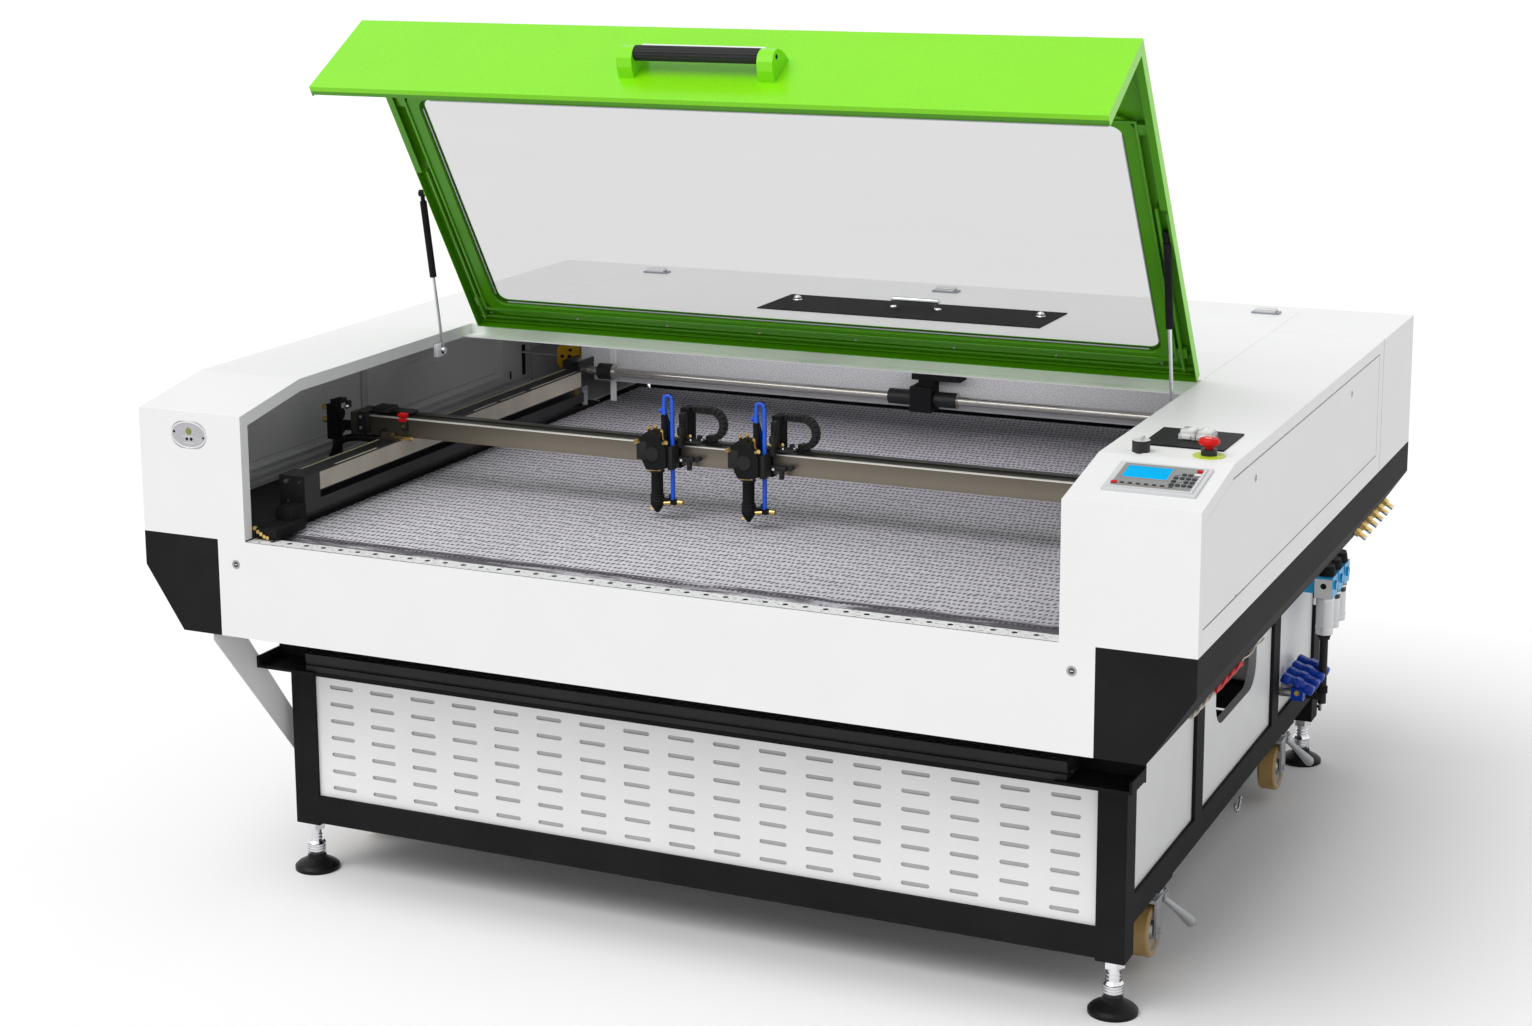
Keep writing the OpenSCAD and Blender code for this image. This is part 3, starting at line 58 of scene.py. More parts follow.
camera = bpy.data.cameras.new("camera")
cameraObject = put("camera", camera)
scene.camera = cameraObject
view = dict(yaw=25.37, pitch=11.32, roll=-0.52, place=at(2321.3, -4475.95, 2261.41), focal=2663.04,
            centre=(712.33, 375.71), width=1532, height=1026, sensor=36, near=0.1, far=400)
yaw, pitch, roll = (radians(view[k]) for k in ("yaw", "pitch", "roll"))
right = Vector((cos(yaw), sin(yaw), 0))
ahead = Vector((-sin(yaw) * cos(pitch), cos(yaw) * cos(pitch), -sin(pitch)))
up = right.cross(ahead)
turnedRight = right * cos(roll) + up * sin(roll)
turnedUp = up * cos(roll) - right * sin(roll)
turn = Matrix((turnedRight, turnedUp, -ahead)).transposed().to_4x4()
cameraObject.matrix_world = Matrix.Translation(view["place"]) @ turn
camera.sensor_width = view["sensor"]
camera.lens = view["focal"] / view["width"] * view["sensor"]
camera.shift_x = (view["width"] / 2 - view["centre"][0]) / view["width"]
camera.shift_y = (view["centre"][1] - view["height"] / 2) / view["width"]
camera.clip_start = view["near"]
camera.clip_end = view["far"]


# Materials

# Local places: the body, the open lid and the flap at its front
lid = dict(hinge=(0, 955, 1144), open=57, length=889, flapTilt=-2.4, middle=14)
bodyPlace = Matrix.Translation((0, frontY, 0))
lidPlace = Matrix.Translation(at(*lid["hinge"])) @ Matrix.Rotation(-radians(lid["open"]), 4, "X")
flapPlace = (lidPlace @ Matrix.Translation((0, -lid["length"] / 1000, 0))
             @ Matrix.Rotation(radians(lid["flapTilt"]), 4, "X"))


def box(x0=None, x1=None, y0=None, y1=None, z0=None, z1=None, matrix=bodyPlace):
    # A region in millimetres as half-spaces, with y from the front face; None leaves a side open
    spaces = []
    for i, (low, high) in enumerate(((x0, x1), (y0, y1), (z0, z1))):
        axis = matrix.to_3x3() @ Vector([1 if k == i else 0 for k in range(3)])
        start = axis.dot(matrix.to_translation())
        if high is not None:
            spaces.append((tuple(axis), high / 1000 + start))
        if low is not None:
            spaces.append((tuple(-axis), -low / 1000 - start))
    return spaces


def sided(side, x0=None, x1=None, y0=None, y1=None, z0=None, z1=None):
    # The same with x measured outwards on one side
    if side < 0:
        x0, x1 = (None if v is None else -v for v in (x1, x0))
    return box(x0, x1, y0, y1, z0, z1)


def feed(tree, socket, value):
    # A constant is set on the socket itself, anything else is linked to it
    if isinstance(value, (int, float)):
        socket.default_value = value
    elif isinstance(value, (tuple, list)):
        socket.default_value = tuple(value[:3]) + (1,)
    else:
        tree.links.new(value, socket)


def mathNode(tree, operation, a, b=None):
    node = tree.nodes.new("ShaderNodeMath")
    node.operation = operation
    for socket, value in zip(node.inputs, (a, b)):
        if value is not None:
            feed(tree, socket, value)
    return node.outputs[0]


def vectorNode(tree, operation, a, b=None):
    node = tree.nodes.new("ShaderNodeVectorMath")
    node.operation = operation
    tree.links.new(a, node.inputs[0])
    if b is not None:
        node.inputs[1].default_value = b
    return node.outputs["Value" if operation in ("DOT_PRODUCT", "LENGTH") else "Vector"]


def axes(tree, place):
    node = tree.nodes.new("ShaderNodeSeparateXYZ")
    tree.links.new(place, node.inputs[0])
    return node.outputs[:3]


def maskOf(tree, place, spaces):
    total = None
    for normal, distance in spaces:
        inside = mathNode(tree, "LESS_THAN", vectorNode(tree, "DOT_PRODUCT", place, normal), distance)
        total = inside if total is None else mathNode(tree, "MULTIPLY", total, inside)
    return total


def roundMask(tree, place, centre, axis, radius):
    # Inside a cylinder of endless length
    shift = vectorNode(tree, "SUBTRACT", place, centre)
    flat = vectorNode(tree, "MULTIPLY", shift, [0 if i == axis else 1 for i in range(3)])
    return mathNode(tree, "LESS_THAN", vectorNode(tree, "LENGTH", flat), radius)


def noise(tree, place, scale, detail=4, rough=0.5, stretch=(1, 1, 1)):
    mapping = tree.nodes.new("ShaderNodeMapping")
    mapping.inputs["Scale"].default_value = stretch
    tree.links.new(place, mapping.inputs["Vector"])
    node = tree.nodes.new("ShaderNodeTexNoise")
    node.inputs["Scale"].default_value = scale
    node.inputs["Detail"].default_value = detail
    node.inputs["Roughness"].default_value = rough
    tree.links.new(mapping.outputs[0], node.inputs["Vector"])
    return node.outputs["Fac"]


def remap(tree, value, low, high, fromLow=0.3, fromHigh=0.7):
    node = tree.nodes.new("ShaderNodeMapRange")
    node.inputs["From Min"].default_value = fromLow
    node.inputs["From Max"].default_value = fromHigh
    node.inputs["To Min"].default_value = low
    node.inputs["To Max"].default_value = high
    tree.links.new(value, node.inputs["Value"])
    return node.outputs[0]


def mixColour(tree, factor, a, b, blend="MIX"):
    node = tree.nodes.new("ShaderNodeMix")
    node.data_type = "RGBA"
    node.blend_type = blend
    for i, value in ((0, factor), (6, a), (7, b)):
        feed(tree, node.inputs[i], value)
    return node.outputs[2]


def mixNumber(tree, factor, a, b):
    node = tree.nodes.new("ShaderNodeMix")
    node.data_type = "FLOAT"
    for i, value in ((0, factor), (2, a), (3, b)):
        feed(tree, node.inputs[i], value)
    return node.outputs[0]


def paint(name, colour, rough=0.4, metal=0.0, vary=0.05, scale=6, grain=0.02, grainScale=500,
          stretch=(1, 1, 1), roughVary=0.08, coat=0.0, gloss=0.4, alpha=None, regions=(), pattern=None):
    # A surface with drifting tone, uneven gloss and fine grain; regions repaint parts of it
    material = bpy.data.materials.new(name)
    material.use_nodes = True
    tree = material.node_tree
    tree.nodes.clear()
    output = tree.nodes.new("ShaderNodeOutputMaterial")
    shader = tree.nodes.new("ShaderNodeBsdfPrincipled")
    tree.links.new(shader.outputs[0], output.inputs[0])
    place = tree.nodes.new("ShaderNodeTexCoord").outputs["Object"]
    tone = noise(tree, place, scale, 5, 0.6, stretch)
    fine = noise(tree, place, grainScale, 3, 0.6, stretch)
    shade = remap(tree, tone, 1 - vary, 1 + vary)
    drift = tree.nodes.new("ShaderNodeCombineColor")
    for i in range(3):
        tree.links.new(shade, drift.inputs[i])
    base = tuple(colour)
    baseRough = rough
    baseMetal = metal
    for spaces, look in regions:
        mask = spaces(tree, place) if callable(spaces) else maskOf(tree, place, spaces)
        base = mixColour(tree, mask, base, look["colour"])
        if baseRough != look["rough"]:
            baseRough = mixNumber(tree, mask, baseRough, look["rough"])
        if baseMetal != look["metal"]:
            baseMetal = mixNumber(tree, mask, baseMetal, look["metal"])
    if pattern:
        base = pattern(tree, place, base)
    toned = mixColour(tree, 1.0, base, drift.outputs[0], "MULTIPLY")
    tree.links.new(toned, shader.inputs["Base Color"])
    spread = remap(tree, fine, -roughVary, roughVary)
    tree.links.new(mathNode(tree, "ADD", spread, baseRough), shader.inputs["Roughness"])
    feed(tree, shader.inputs["Metallic"], baseMetal)
    shader.inputs["Specular IOR Level"].default_value = gloss
    if coat:
        shader.inputs["Coat Weight"].default_value = coat
        shader.inputs["Coat Roughness"].default_value = 0.08
    if alpha is not None:
        shader.inputs["Alpha"].default_value = alpha
    if grain:
        bump = tree.nodes.new("ShaderNodeBump")
        bump.inputs["Strength"].default_value = min(1, grain * 10)
        bump.inputs["Distance"].default_value = 0.0004
        tree.links.new(fine, bump.inputs["Height"])
        tree.links.new(bump.outputs[0], shader.inputs["Normal"])
    return material


tones = dict(
    white=(0.83, 0.83, 0.835), rim=(0.78, 0.78, 0.79), inner=(0.72, 0.725, 0.73), pale=(0.78, 0.785, 0.79),
    black=(0.014, 0.014, 0.015), softBlack=(0.02, 0.02, 0.021), lime=(0.230, 0.745, 0.003),
    steel=(0.62, 0.63, 0.65), limeInside=(0.072, 0.30, 0.002), chrome=(0.80, 0.80, 0.82),
    brass=(0.74, 0.53, 0.19), blue=(0.0, 0.095, 0.72),
    bronze=(0.24, 0.21, 0.165), tan=(0.60, 0.55, 0.46), red=(0.60, 0.008, 0.01), yellow=(0.60, 0.35, 0.01),
    sky=(0.015, 0.36, 0.70), amber=(0.42, 0.27, 0.10), castGrey=(0.36, 0.37, 0.38), screen=(0.0, 0.44, 0.88),
    royal=(0.0, 0.045, 0.42), pearl=(0.72, 0.72, 0.70),
)


def surface(colour, rough, metal=0.0):
    return dict(colour=colour, rough=rough, metal=metal)


shiny = surface(tones["chrome"], 0.15, 1.0)
gold = surface(tones["brass"], 0.25, 1.0)
dull = surface(tones["black"], 0.45)


# The side housings, with their sloping noses, and the seams round the doors
housing = dict(nose=1097, rise=40, run=225, rim=893.5, outer=1149, floor=829, ledge=831, deck=1136, back=1570)
seam = dict(face=1149.2, wide=2.6, low=876, back=1527, top=1109, front=28, topFront=214, cabinet=1575)
noseSlope = atan2(housing["rise"], housing["run"])


def housingInside(side):
    normal = (0, -sin(noseSlope), cos(noseSlope))
    under = (normal, Vector(normal).dot(at(0, 0, housing["nose"] - 1)))
    return sided(side, housing["rim"], housing["outer"], 1, z0=housing["floor"], z1=housing["deck"]) + [under]


# Inner walls of the housings, the cabinet's inside and the cover's underside are the white paint darkened a
# little: painted shade
innerShadeLook = surface(tones["inner"], 0.4)
# The rim round each opening is the white paint darkened: painted shade
rimShadeLook = surface(tones["rim"], 0.4)
seamLook = surface((0.22, 0.22, 0.225), 0.5)


def sheetWhite(name, **more):
    return paint(name, tones["white"], 0.42, vary=0.012, gloss=0.25, **more)


def sideWhite(name, side):
    face, wide = seam["face"], seam["wide"]
    lines = [
        sided(side, face, y0=seam["front"], y1=seam["back"], z0=seam["low"] - wide, z1=seam["low"]),
        sided(side, face, y0=seam["back"], y1=seam["back"] + wide, z0=seam["low"], z1=seam["top"]),
        sided(side, face, y0=seam["topFront"], y1=seam["back"], z0=seam["top"], z1=seam["top"] + wide),
        sided(side, face, y0=seam["cabinet"] - wide, y1=seam["cabinet"]),
    ]
    back, ledge = housing["back"], housing["ledge"]
    return sheetWhite(name, regions=[
        (housingInside(side), innerShadeLook),
        (sided(side, x1=housing["rim"], y0=1, y1=back, z0=ledge, z1=housing["deck"]), rimShadeLook),
        (sided(side, x1=housing["outer"] - 1, y0=3, y1=back, z1=ledge), dull),
    ] + [(spaces, seamLook) for spaces in lines])


leftWhite, rightWhite = sideWhite("leftWhite", -1), sideWhite("rightWhite", 1)
cabinetWhite = sheetWhite("cabinetWhite", regions=[(box(-1149, 1149, y1=1919, z0=829, z1=1134.5), innerShadeLook)])


lip = dict(half=890, scuffHalf=870, crease=(1, 4.5), fold=(3, 50), under=826.5, pitch=42, count=20,
           y=27.8, top=828)


def lipScuffsAndCreaseShade(tree, place, base):
    # Painted shade along the creased front edge, and scuffs on the folded top
    specks = noise(tree, place, 150, 3, 0.7, (0.6, 1.4, 1))
    top = maskOf(tree, place, box(-lip["scuffHalf"], lip["scuffHalf"], *lip["fold"], lip["under"]))
    scuffs = mathNode(tree, "MULTIPLY", top, remap(tree, specks, 0, 1, 0.56, 0.66))
    worn = mixColour(tree, scuffs, base, (0.16, 0.15, 0.18))
    crease = maskOf(tree, place, box(-lip["half"], lip["half"], *lip["crease"], lip["under"]))
    return mixColour(tree, crease, worn, (0.12, 0.11, 0.15))


white = sheetWhite("white", pattern=lipScuffsAndCreaseShade)
grilleWhite = paint("grilleWhite", (0.92, 0.92, 0.925), vary=0.02)
grilleBack = paint("grilleBack", (0.50, 0.50, 0.505), 0.5, vary=0.06)
pale = paint("pale", tones["pale"], vary=0.03)
foldGrey = paint("foldGrey", (0.58, 0.585, 0.59), 0.35)
edgeGrey = paint("edgeGrey", (0.82, 0.83, 0.84), 0.3)
black = paint("black", tones["black"], 0.62, vary=0.2, grain=0.03, gloss=0.06)
softBlack = paint("softBlack", tones["softBlack"], 0.5, vary=0.2, grain=0.04, gloss=0.2)
limeFinish = dict(rough=0.28, vary=0.02, coat=0.15, gloss=0.3)
# The inside of the lid shell and flap, and the ledges and brackets there, are the lime paint darkened:
# painted shade
limeInsideShadeLook = surface(tones["limeInside"], 0.3)
lime = paint("lime", tones["lime"], **limeFinish)
limeInside = paint("limeInside", tones["limeInside"], 0.3, vary=0.08, coat=0.3)
limeShell = paint("limeShell", tones["lime"], **limeFinish, regions=[
    (box(-859.4, 887.4, -888.4, -6.9, z1=-0.7, matrix=lidPlace), limeInsideShadeLook),
    (box(-859.4, 887.4, 0.7, z0=-248.4, z1=1, matrix=flapPlace), limeInsideShadeLook),
])
steel = paint("steel", tones["steel"], 0.25, 1.0)
chrome = paint("chrome", tones["chrome"], 0.14, 1.0, vary=0.03)
darkChrome = paint("darkChrome", (0.36, 0.37, 0.39), 0.2, 1.0)
brass = paint("brass", tones["brass"], 0.25, 1.0, vary=0.06)
hoseBlue = paint("hoseBlue", tones["blue"], 0.3, coat=0.4)
navy = paint("navy", (0.004, 0.016, 0.09), 0.35, vary=0.1)
royal = paint("royal", tones["royal"], 0.35, vary=0.08)
red = paint("red", tones["red"], gloss=0.15)
tan = paint("tan", tones["tan"], vary=0.08)
yellow = paint("yellow", tones["yellow"], vary=0.06)
pearl = paint("pearl", tones["pearl"], 0.18, vary=0.04, coat=0.5)
castGrey = paint("castGrey", tones["castGrey"], 0.4, 0.6, vary=0.12, grain=0.06)
keyGrey = paint("keyGrey", (0.04, 0.042, 0.046), 0.45, vary=0.1)
keyTan = paint("keyTan", (0.40, 0.34, 0.28), 0.45, vary=0.06)
boardGreen = paint("boardGreen", (0.03, 0.10, 0.012), 0.5, vary=0.4, scale=60)
silver = paint("silver", (0.66, 0.67, 0.68), 0.35, 0.7)


def weave(tree, place, base):
    # Staggered rows of small dark holes between light threads, painted shade darkening it towards the right,
    # and a dark fuzzy band along the front
    pitch = dict(across=11.5, along=25.0, holeWide=0.34, holeLong=0.24)
    wobble = noise(tree, place, 30, 2, 0.5)
    x, y, _ = axes(tree, place)
    shift = remap(tree, wobble, -0.2, 0.2)
    rows = mathNode(tree, "ADD", mathNode(tree, "MULTIPLY", y, 1000 / pitch["along"]), shift)
    halfStep = mathNode(tree, "MULTIPLY", mathNode(tree, "FLOOR", rows), 0.5)
    columns = mathNode(tree, "MULTIPLY", x, 1000 / pitch["across"])
    columns = mathNode(tree, "ADD", mathNode(tree, "ADD", columns, halfStep), shift)
    squares = []
    for value, size in ((columns, pitch["holeWide"]), (rows, pitch["holeLong"])):
        middle = mathNode(tree, "SUBTRACT", mathNode(tree, "FRACT", value), 0.5)
        offset = mathNode(tree, "ABSOLUTE", mathNode(tree, "DIVIDE", middle, size))
        squares.append(mathNode(tree, "POWER", offset, 2))
    holes = remap(tree, mathNode(tree, "ADD", *squares), 1, 0, 0.5, 1.5)
    threads = noise(tree, place, 170, 3, 0.7, (0.7, 0.5, 1))
    threadTone = mixColour(tree, remap(tree, threads, 0, 1), (0.51, 0.485, 0.55), (0.84, 0.815, 0.87))
    spotted = mixColour(tree, mathNode(tree, "MULTIPLY", holes, 0.85), threadTone, (0.05, 0.045, 0.065))
    wide = noise(tree, place, 3, 3, 0.5)
    shadeToRight = remap(tree, x, 0, 0.25, 0.1, 0.9)
    shadeAmount = mathNode(tree, "ADD", shadeToRight, remap(tree, wide, 0, 0.12))
    shaded = mixColour(tree, shadeAmount, spotted, (0.125, 0.12, 0.135))
    streaks = noise(tree, place, 34, 4, 0.7, (0.12, 2.2, 1))
    band = maskOf(tree, place, box(y1=112))
    strength = mathNode(tree, "MULTIPLY", band, remap(tree, streaks, 0.25, 1, 0.38, 0.5))
    return mixColour(tree, mathNode(tree, "MULTIPLY", strength, 0.9), shaded, (0.035, 0.03, 0.04))


def speckle(tree, place, base):
    # Fine flecks with painted shade darkening them to the right, pale posts and a paler strip below the shaft
    dots = noise(tree, place, 300, 4, 0.75)
    fleck = mixColour(tree, remap(tree, dots, 0, 1, 0.38, 0.60), (0.55, 0.56, 0.59), (0.94, 0.94, 0.96))
    x = axes(tree, place)[0]
    cloud = noise(tree, place, 6, 4, 0.6)
    shadeToRight = remap(tree, x, 0, 0.45, 0.35, 0.9)
    shadeAmount = mathNode(tree, "ADD", shadeToRight, remap(tree, cloud, 0, 0.15))
    shadedFlecks = mixColour(tree, shadeAmount, fleck, (0.2, 0.2, 0.205))
    strip = maskOf(tree, place, box(-850, 850, y1=1510.6, z1=921))
    lit = mixColour(tree, strip, shadedFlecks, (0.7, 0.7, 0.72))
    for side in (-1, 1):
        post = maskOf(tree, place, sided(side, 791, 809, y1=1510.1))
        lit = mixColour(tree, post, lit, (0.9, 0.9, 0.9))
    return lit


beltWeave = paint("beltWeave", (0.24, 0.22, 0.26), 0.75, vary=0.04, grain=0.1, grainScale=300, pattern=weave)
speckledSteel = paint("speckledSteel", (0.5, 0.5, 0.5), 0.5, vary=0.04, pattern=speckle)


beam = dict(end=951, middle=572, low=941.9, top=990.2, edge=(983.5, 986.4), behind=(985.4, 990))


def beamTonesAndHighlight(tree, place, base):
    # Darker towards the top of the front face and at the far left, with a painted highlight along the front
    # top edge
    x, _, z = axes(tree, place)
    high = remap(tree, z, 0, 0.55, 0.955, 0.986)
    toned = mixColour(tree, high, base, (0.085, 0.072, 0.055))
    left = remap(tree, x, 0.75, 0, -0.86, -0.62)
    toned = mixColour(tree, left, toned, (0.05, 0.043, 0.033))
    edge = maskOf(tree, place, box(-beam["end"], beam["end"], None, beam["middle"], *beam["edge"]))
    toned = mixColour(tree, edge, toned, (0.88, 0.85, 0.80))
    behind = maskOf(tree, place, box(-beam["end"], beam["end"], beam["middle"], None, *beam["behind"]))
    return mixColour(tree, behind, toned, (0.03, 0.028, 0.024))


bronzeRegions = [(spaces, dull) for spaces in (
    box(beam["end"]), box(x1=-beam["end"]), box(z0=beam["top"]), box(z1=beam["low"]))]
beamBronze = paint("beamBronze", tones["bronze"], 0.32, 0.55, vary=0.03, scale=2, grain=0.004, roughVary=0.03,
                   grainScale=900, stretch=(0.02, 1, 1), regions=bronzeRegions, pattern=beamTonesAndHighlight)

tanLook = surface(tones["tan"], 0.4, 0.2)
goldLook = surface((0.86, 0.76, 0.48), 0.3, 0.3)
glintLook = surface((0.92, 0.88, 0.76), 0.25, 0.2)
rail = dict(face=(854.6, 855.4, 232, 1436, 894, 932.5), strip=(898, 906, 228, 1438, 934, 936.4),
            glintX=(856.5, 862), glintZ=(935.6, 936.4),
            glints=((300, 470), (640, 830), (900, 1010), (1030, 1150), (1180, 1420)))
railRegions = []
for s in (-1, 1):
    railRegions.append((sided(s, *rail["face"]), tanLook))
    railRegions.append((sided(s, *rail["strip"]), goldLook))
    for length in rail["glints"]:
        railRegions.append((sided(s, *rail["glintX"], *length, *rail["glintZ"]), glintLook))
railBlack = paint("railBlack", tones["softBlack"], 0.35, vary=0.2, regions=railRegions)

footMaterial = paint("footMaterial", (0.008, 0.008, 0.009), vary=0.15, gloss=0.15,
                     regions=[(box(z0=37), shiny)])

wheel = dict(hub=0.047, core=0.021)


def wheelMaterial(name):
    low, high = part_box(name)
    centre = (low + high) / 2
    hub = lambda tree, place: roundMask(tree, place, centre, 0, wheel["hub"])
    core = lambda tree, place: roundMask(tree, place, centre, 0, wheel["core"])
    return paint(name + "Look", tones["amber"], 0.42, vary=0.10, scale=20,
                 regions=[(hub, surface((0.40, 0.34, 0.26), 0.4)),
                          (core, surface(tones["castGrey"], 0.35, 0.6))])


skyLook = surface(tones["sky"], 0.35)
airRegions = [
    (box(y0=1649.5, z0=505.5), skyLook),
    (box(y0=1649.5, z0=484, z1=505.4), dull),
    (box(x1=1006.5, z0=505.5), skyLook),
    (box(1048.5, y1=1650, z0=505.4), skyLook),
    (box(y1=1650, z0=551), skyLook),
    (box(z0=556.4), dull),
]
filterSilver = paint("filterSilver", (0.72, 0.73, 0.74), 0.35, 0.25, regions=airRegions)

lineRegions = [
    (box(z0=282, z1=350), surface(tones["royal"], 0.35)),
    (box(1014.3, 1040, 1608, 1634, 230, 500), dull),
    (box(x1=985.7, z0=285, z1=313), surface((0.45, 0.45, 0.45), 0.3, 0.8)),
    (box(z0=600), gold),
    (box(z0=600, z1=674), surface((0.75, 0.75, 0.72), 0.2, 1.0)),
]
lineBlack = paint("lineBlack", tones["black"], vary=0.15, gloss=0.2, regions=lineRegions)

cutEdge = surface((0.40, 0.40, 0.41), 0.45)
windowPanelLook = paint("windowPanelLook", tones["pale"], vary=0.03,
                        regions=[(box(x1=949.6), cutEdge)])

# The hatch in the cover; its screws and its pull's bar and feet lie this far from its middle
hatch = dict(middle=19, pull=60, screw=318, screwY=1552, bar=63, foot=58, footY=1544.5)
hatchRegions = [
    (box(hatch["middle"] - hatch["pull"], hatch["middle"] + hatch["pull"], 1535, 1555, 1139.8), shiny),
    (box(y0=1535, y1=1570, z0=1140.2), surface((0.55, 0.55, 0.56), 0.2, 1.0)),
]
hatchBlack = paint("hatchBlack", tones["black"], 0.65, vary=0.15, gloss=0.03, regions=hatchRegions)
coverWhite = sheetWhite("coverWhite", regions=[
    (box(y0=1780, z0=1137.2), shiny), (box(y1=1848, z1=1134.9), innerShadeLook)])

stopYellow = paint("stopYellow", (0.50, 0.62, 0.02), vary=0.04,
                   regions=[(box(z0=1139.2), dull)])
keyBlack = paint("keyBlack", tones["black"], 0.35, vary=0.1,
                 regions=[(box(z0=1160.5), surface((0.66, 0.66, 0.64), 0.35))])
portBlack = paint("portBlack", (0.008, 0.008, 0.009), 0.5, vary=0.1, gloss=0.08,
                  regions=[(box(z0=1140.2), surface((0.60, 0.61, 0.62), 0.15))])
mirrorYellow = paint("mirrorYellow", tones["yellow"], 0.38, vary=0.08)
couplings = ((-1, 782, 823), (1, -22, 38), (1, 97, 155), (1, 865, 895), (-1, 865, 895), (1, 782, 823))
couplingRegions = [(sided(side, x0, x1), dull) for side, x0, x1 in couplings]
shaftSteel = paint("shaftSteel", (0.55, 0.53, 0.49), 0.2, 0.8, stretch=(0.1, 1, 1), regions=couplingRegions)
glassTube = paint("glassTube", (0.75, 0.80, 0.82), 0.1, vary=0.02, alpha=0.55)
panel = dict(x=1035.5, y=118.125, halfWide=74, halfHigh=52, raised=6)
panelFace = Matrix.Translation(at(panel["x"], panel["y"],
                                  housing["nose"] + panel["y"] * housing["rise"] / housing["run"]))
panelPlace = panelFace @ Matrix.Rotation(noseSlope, 4, "X")
panelDark = box(-panel["halfWide"], panel["halfWide"], -panel["halfHigh"], panel["halfHigh"], panel["raised"],
                matrix=panelPlace)
panelLook = paint("panelLook", (0.66, 0.67, 0.68), 0.38, 0.1, vary=0.03,
                  regions=[(panelDark, surface((0.27, 0.275, 0.28), 0.4))])
plateGrey = paint("plateGrey", (0.46, 0.45, 0.475), 0.35, vary=0.08, scale=60)
railSilver = paint("railSilver", (0.84, 0.84, 0.85), vary=0.03)
pane = paint("pane", (0.035, 0.036, 0.037), 0.06, vary=0.01, grain=0, roughVary=0.01, gloss=0.1, alpha=0.17)

looks = dict(
    base_legs=black, cross_beams=black, side_beams=black, slotted_panel=grilleWhite,
    window_panel=windowPanelLook, base_panels=pale, levelling_feet=footMaterial, front_rail=softBlack,
    rail_brackets=black, side_gusset=grilleWhite, left_housing=leftWhite, right_housing=rightWhite,
    rear_cabinet=cabinetWhite, front_panel=white, skirts=black, hinge_rail=railSilver,
    rear_baffle=speckledSteel, conveyor_belt=beltWeave, conveyor_bed=softBlack, guide_rails=railBlack,
    conveyor_motor=black, shaft_bearing=black, laser_tube=glassTube, corner_mirror=mirrorYellow,
    control_panel=panelLook, port_plate=portBlack, estop_base=stopYellow, indicator_window=plateGrey,
    air_prep_unit=filterSilver, air_lines=lineBlack, strut_mounts=steel, front_roller=steel,
    rear_roller=steel, lid_shell=limeShell, lid_window=pane, handle_ends=lime, handle_grip=softBlack,
    left_strut_rod=chrome, right_strut_rod=chrome, left_strut_tube=black, right_strut_tube=black,
    gantry_beam=beamBronze, beam_mirror=black, left_head=black, right_head=black,
    drive_shaft=shaftSteel, estop_button=red, key_switch=keyBlack, rear_cover=coverWhite,
    rear_hatch=hatchBlack, right_door=rightWhite, left_door=leftWhite,
)
for corner in ("front_left", "front_right", "rear_left", "rear_right"):
    looks[corner + "_fork"] = castGrey
    looks[corner + "_wheel"] = wheelMaterial(corner + "_wheel")
for name, node in cad.items():
    node.data.materials.clear()
    node.data.materials.append(looks[name])
print("materials set")


# Mesh helpers; all sizes in millimetres, with y from the front face unless a matrix is given

sharpAngle = 35


def addBox(bm, low, high, bevel=0.6, segments=2, matrix=bodyPlace):
    low = Vector(low) / 1000
    high = Vector(high) / 1000
    place = matrix @ Matrix.Translation((low + high) / 2) @ Matrix.Diagonal(list(high - low) + [1])
    made = bmesh.ops.create_cube(bm, size=1, matrix=place)
    edges = list({e for v in made["verts"] for e in v.link_edges})
    bmesh.ops.bevel(bm, geom=edges, offset=bevel / 1000, segments=segments, affect="EDGES",
                    profile=0.5, material=-1)


def addRod(bm, start, end, radius, radius2=None, sides=20, matrix=bodyPlace):
    start = matrix @ (Vector(start) / 1000)
    end = matrix @ (Vector(end) / 1000)
    along = end - start
    turnTo = Vector((0, 0, 1)).rotation_difference(along).to_matrix().to_4x4()
    bmesh.ops.create_cone(
        bm, cap_ends=True, segments=sides, radius1=radius / 1000,
        radius2=(radius if radius2 is None else radius2) / 1000, depth=along.length,
        matrix=Matrix.Translation((start + end) / 2) @ turnTo)


def addBall(bm, centre, radius, matrix=bodyPlace):
    bmesh.ops.create_uvsphere(bm, u_segments=20, v_segments=12, radius=radius / 1000,
                              matrix=matrix @ Matrix.Translation(Vector(centre) / 1000))


def addTube(bm, points, radius, matrix=bodyPlace):
    # A round tube along a smooth route
    curve = bpy.data.curves.new("route", "CURVE")
    curve.dimensions = "3D"
    curve.bevel_depth = radius / 1000
    curve.bevel_resolution = 3
    curve.use_fill_caps = True
    line = curve.splines.new("NURBS")
    line.points.add(len(points) - 1)
    for corner, point in zip(line.points, points):
        corner.co = (*(matrix @ (Vector(point) / 1000)), 1)
    line.order_u = 3
    line.resolution_u = 5
    line.use_endpoint_u = True
    holder = bpy.data.objects.new("route", curve)
    mesh = bpy.data.meshes.new_from_object(holder)
    before = len(bm.verts)
    bm.from_mesh(mesh)
    bm.verts.ensure_lookup_table()
    bmesh.ops.remove_doubles(bm, verts=bm.verts[before:], dist=0.00001)
    bpy.data.objects.remove(holder)
    bpy.data.curves.remove(curve)
    bpy.data.meshes.remove(mesh)


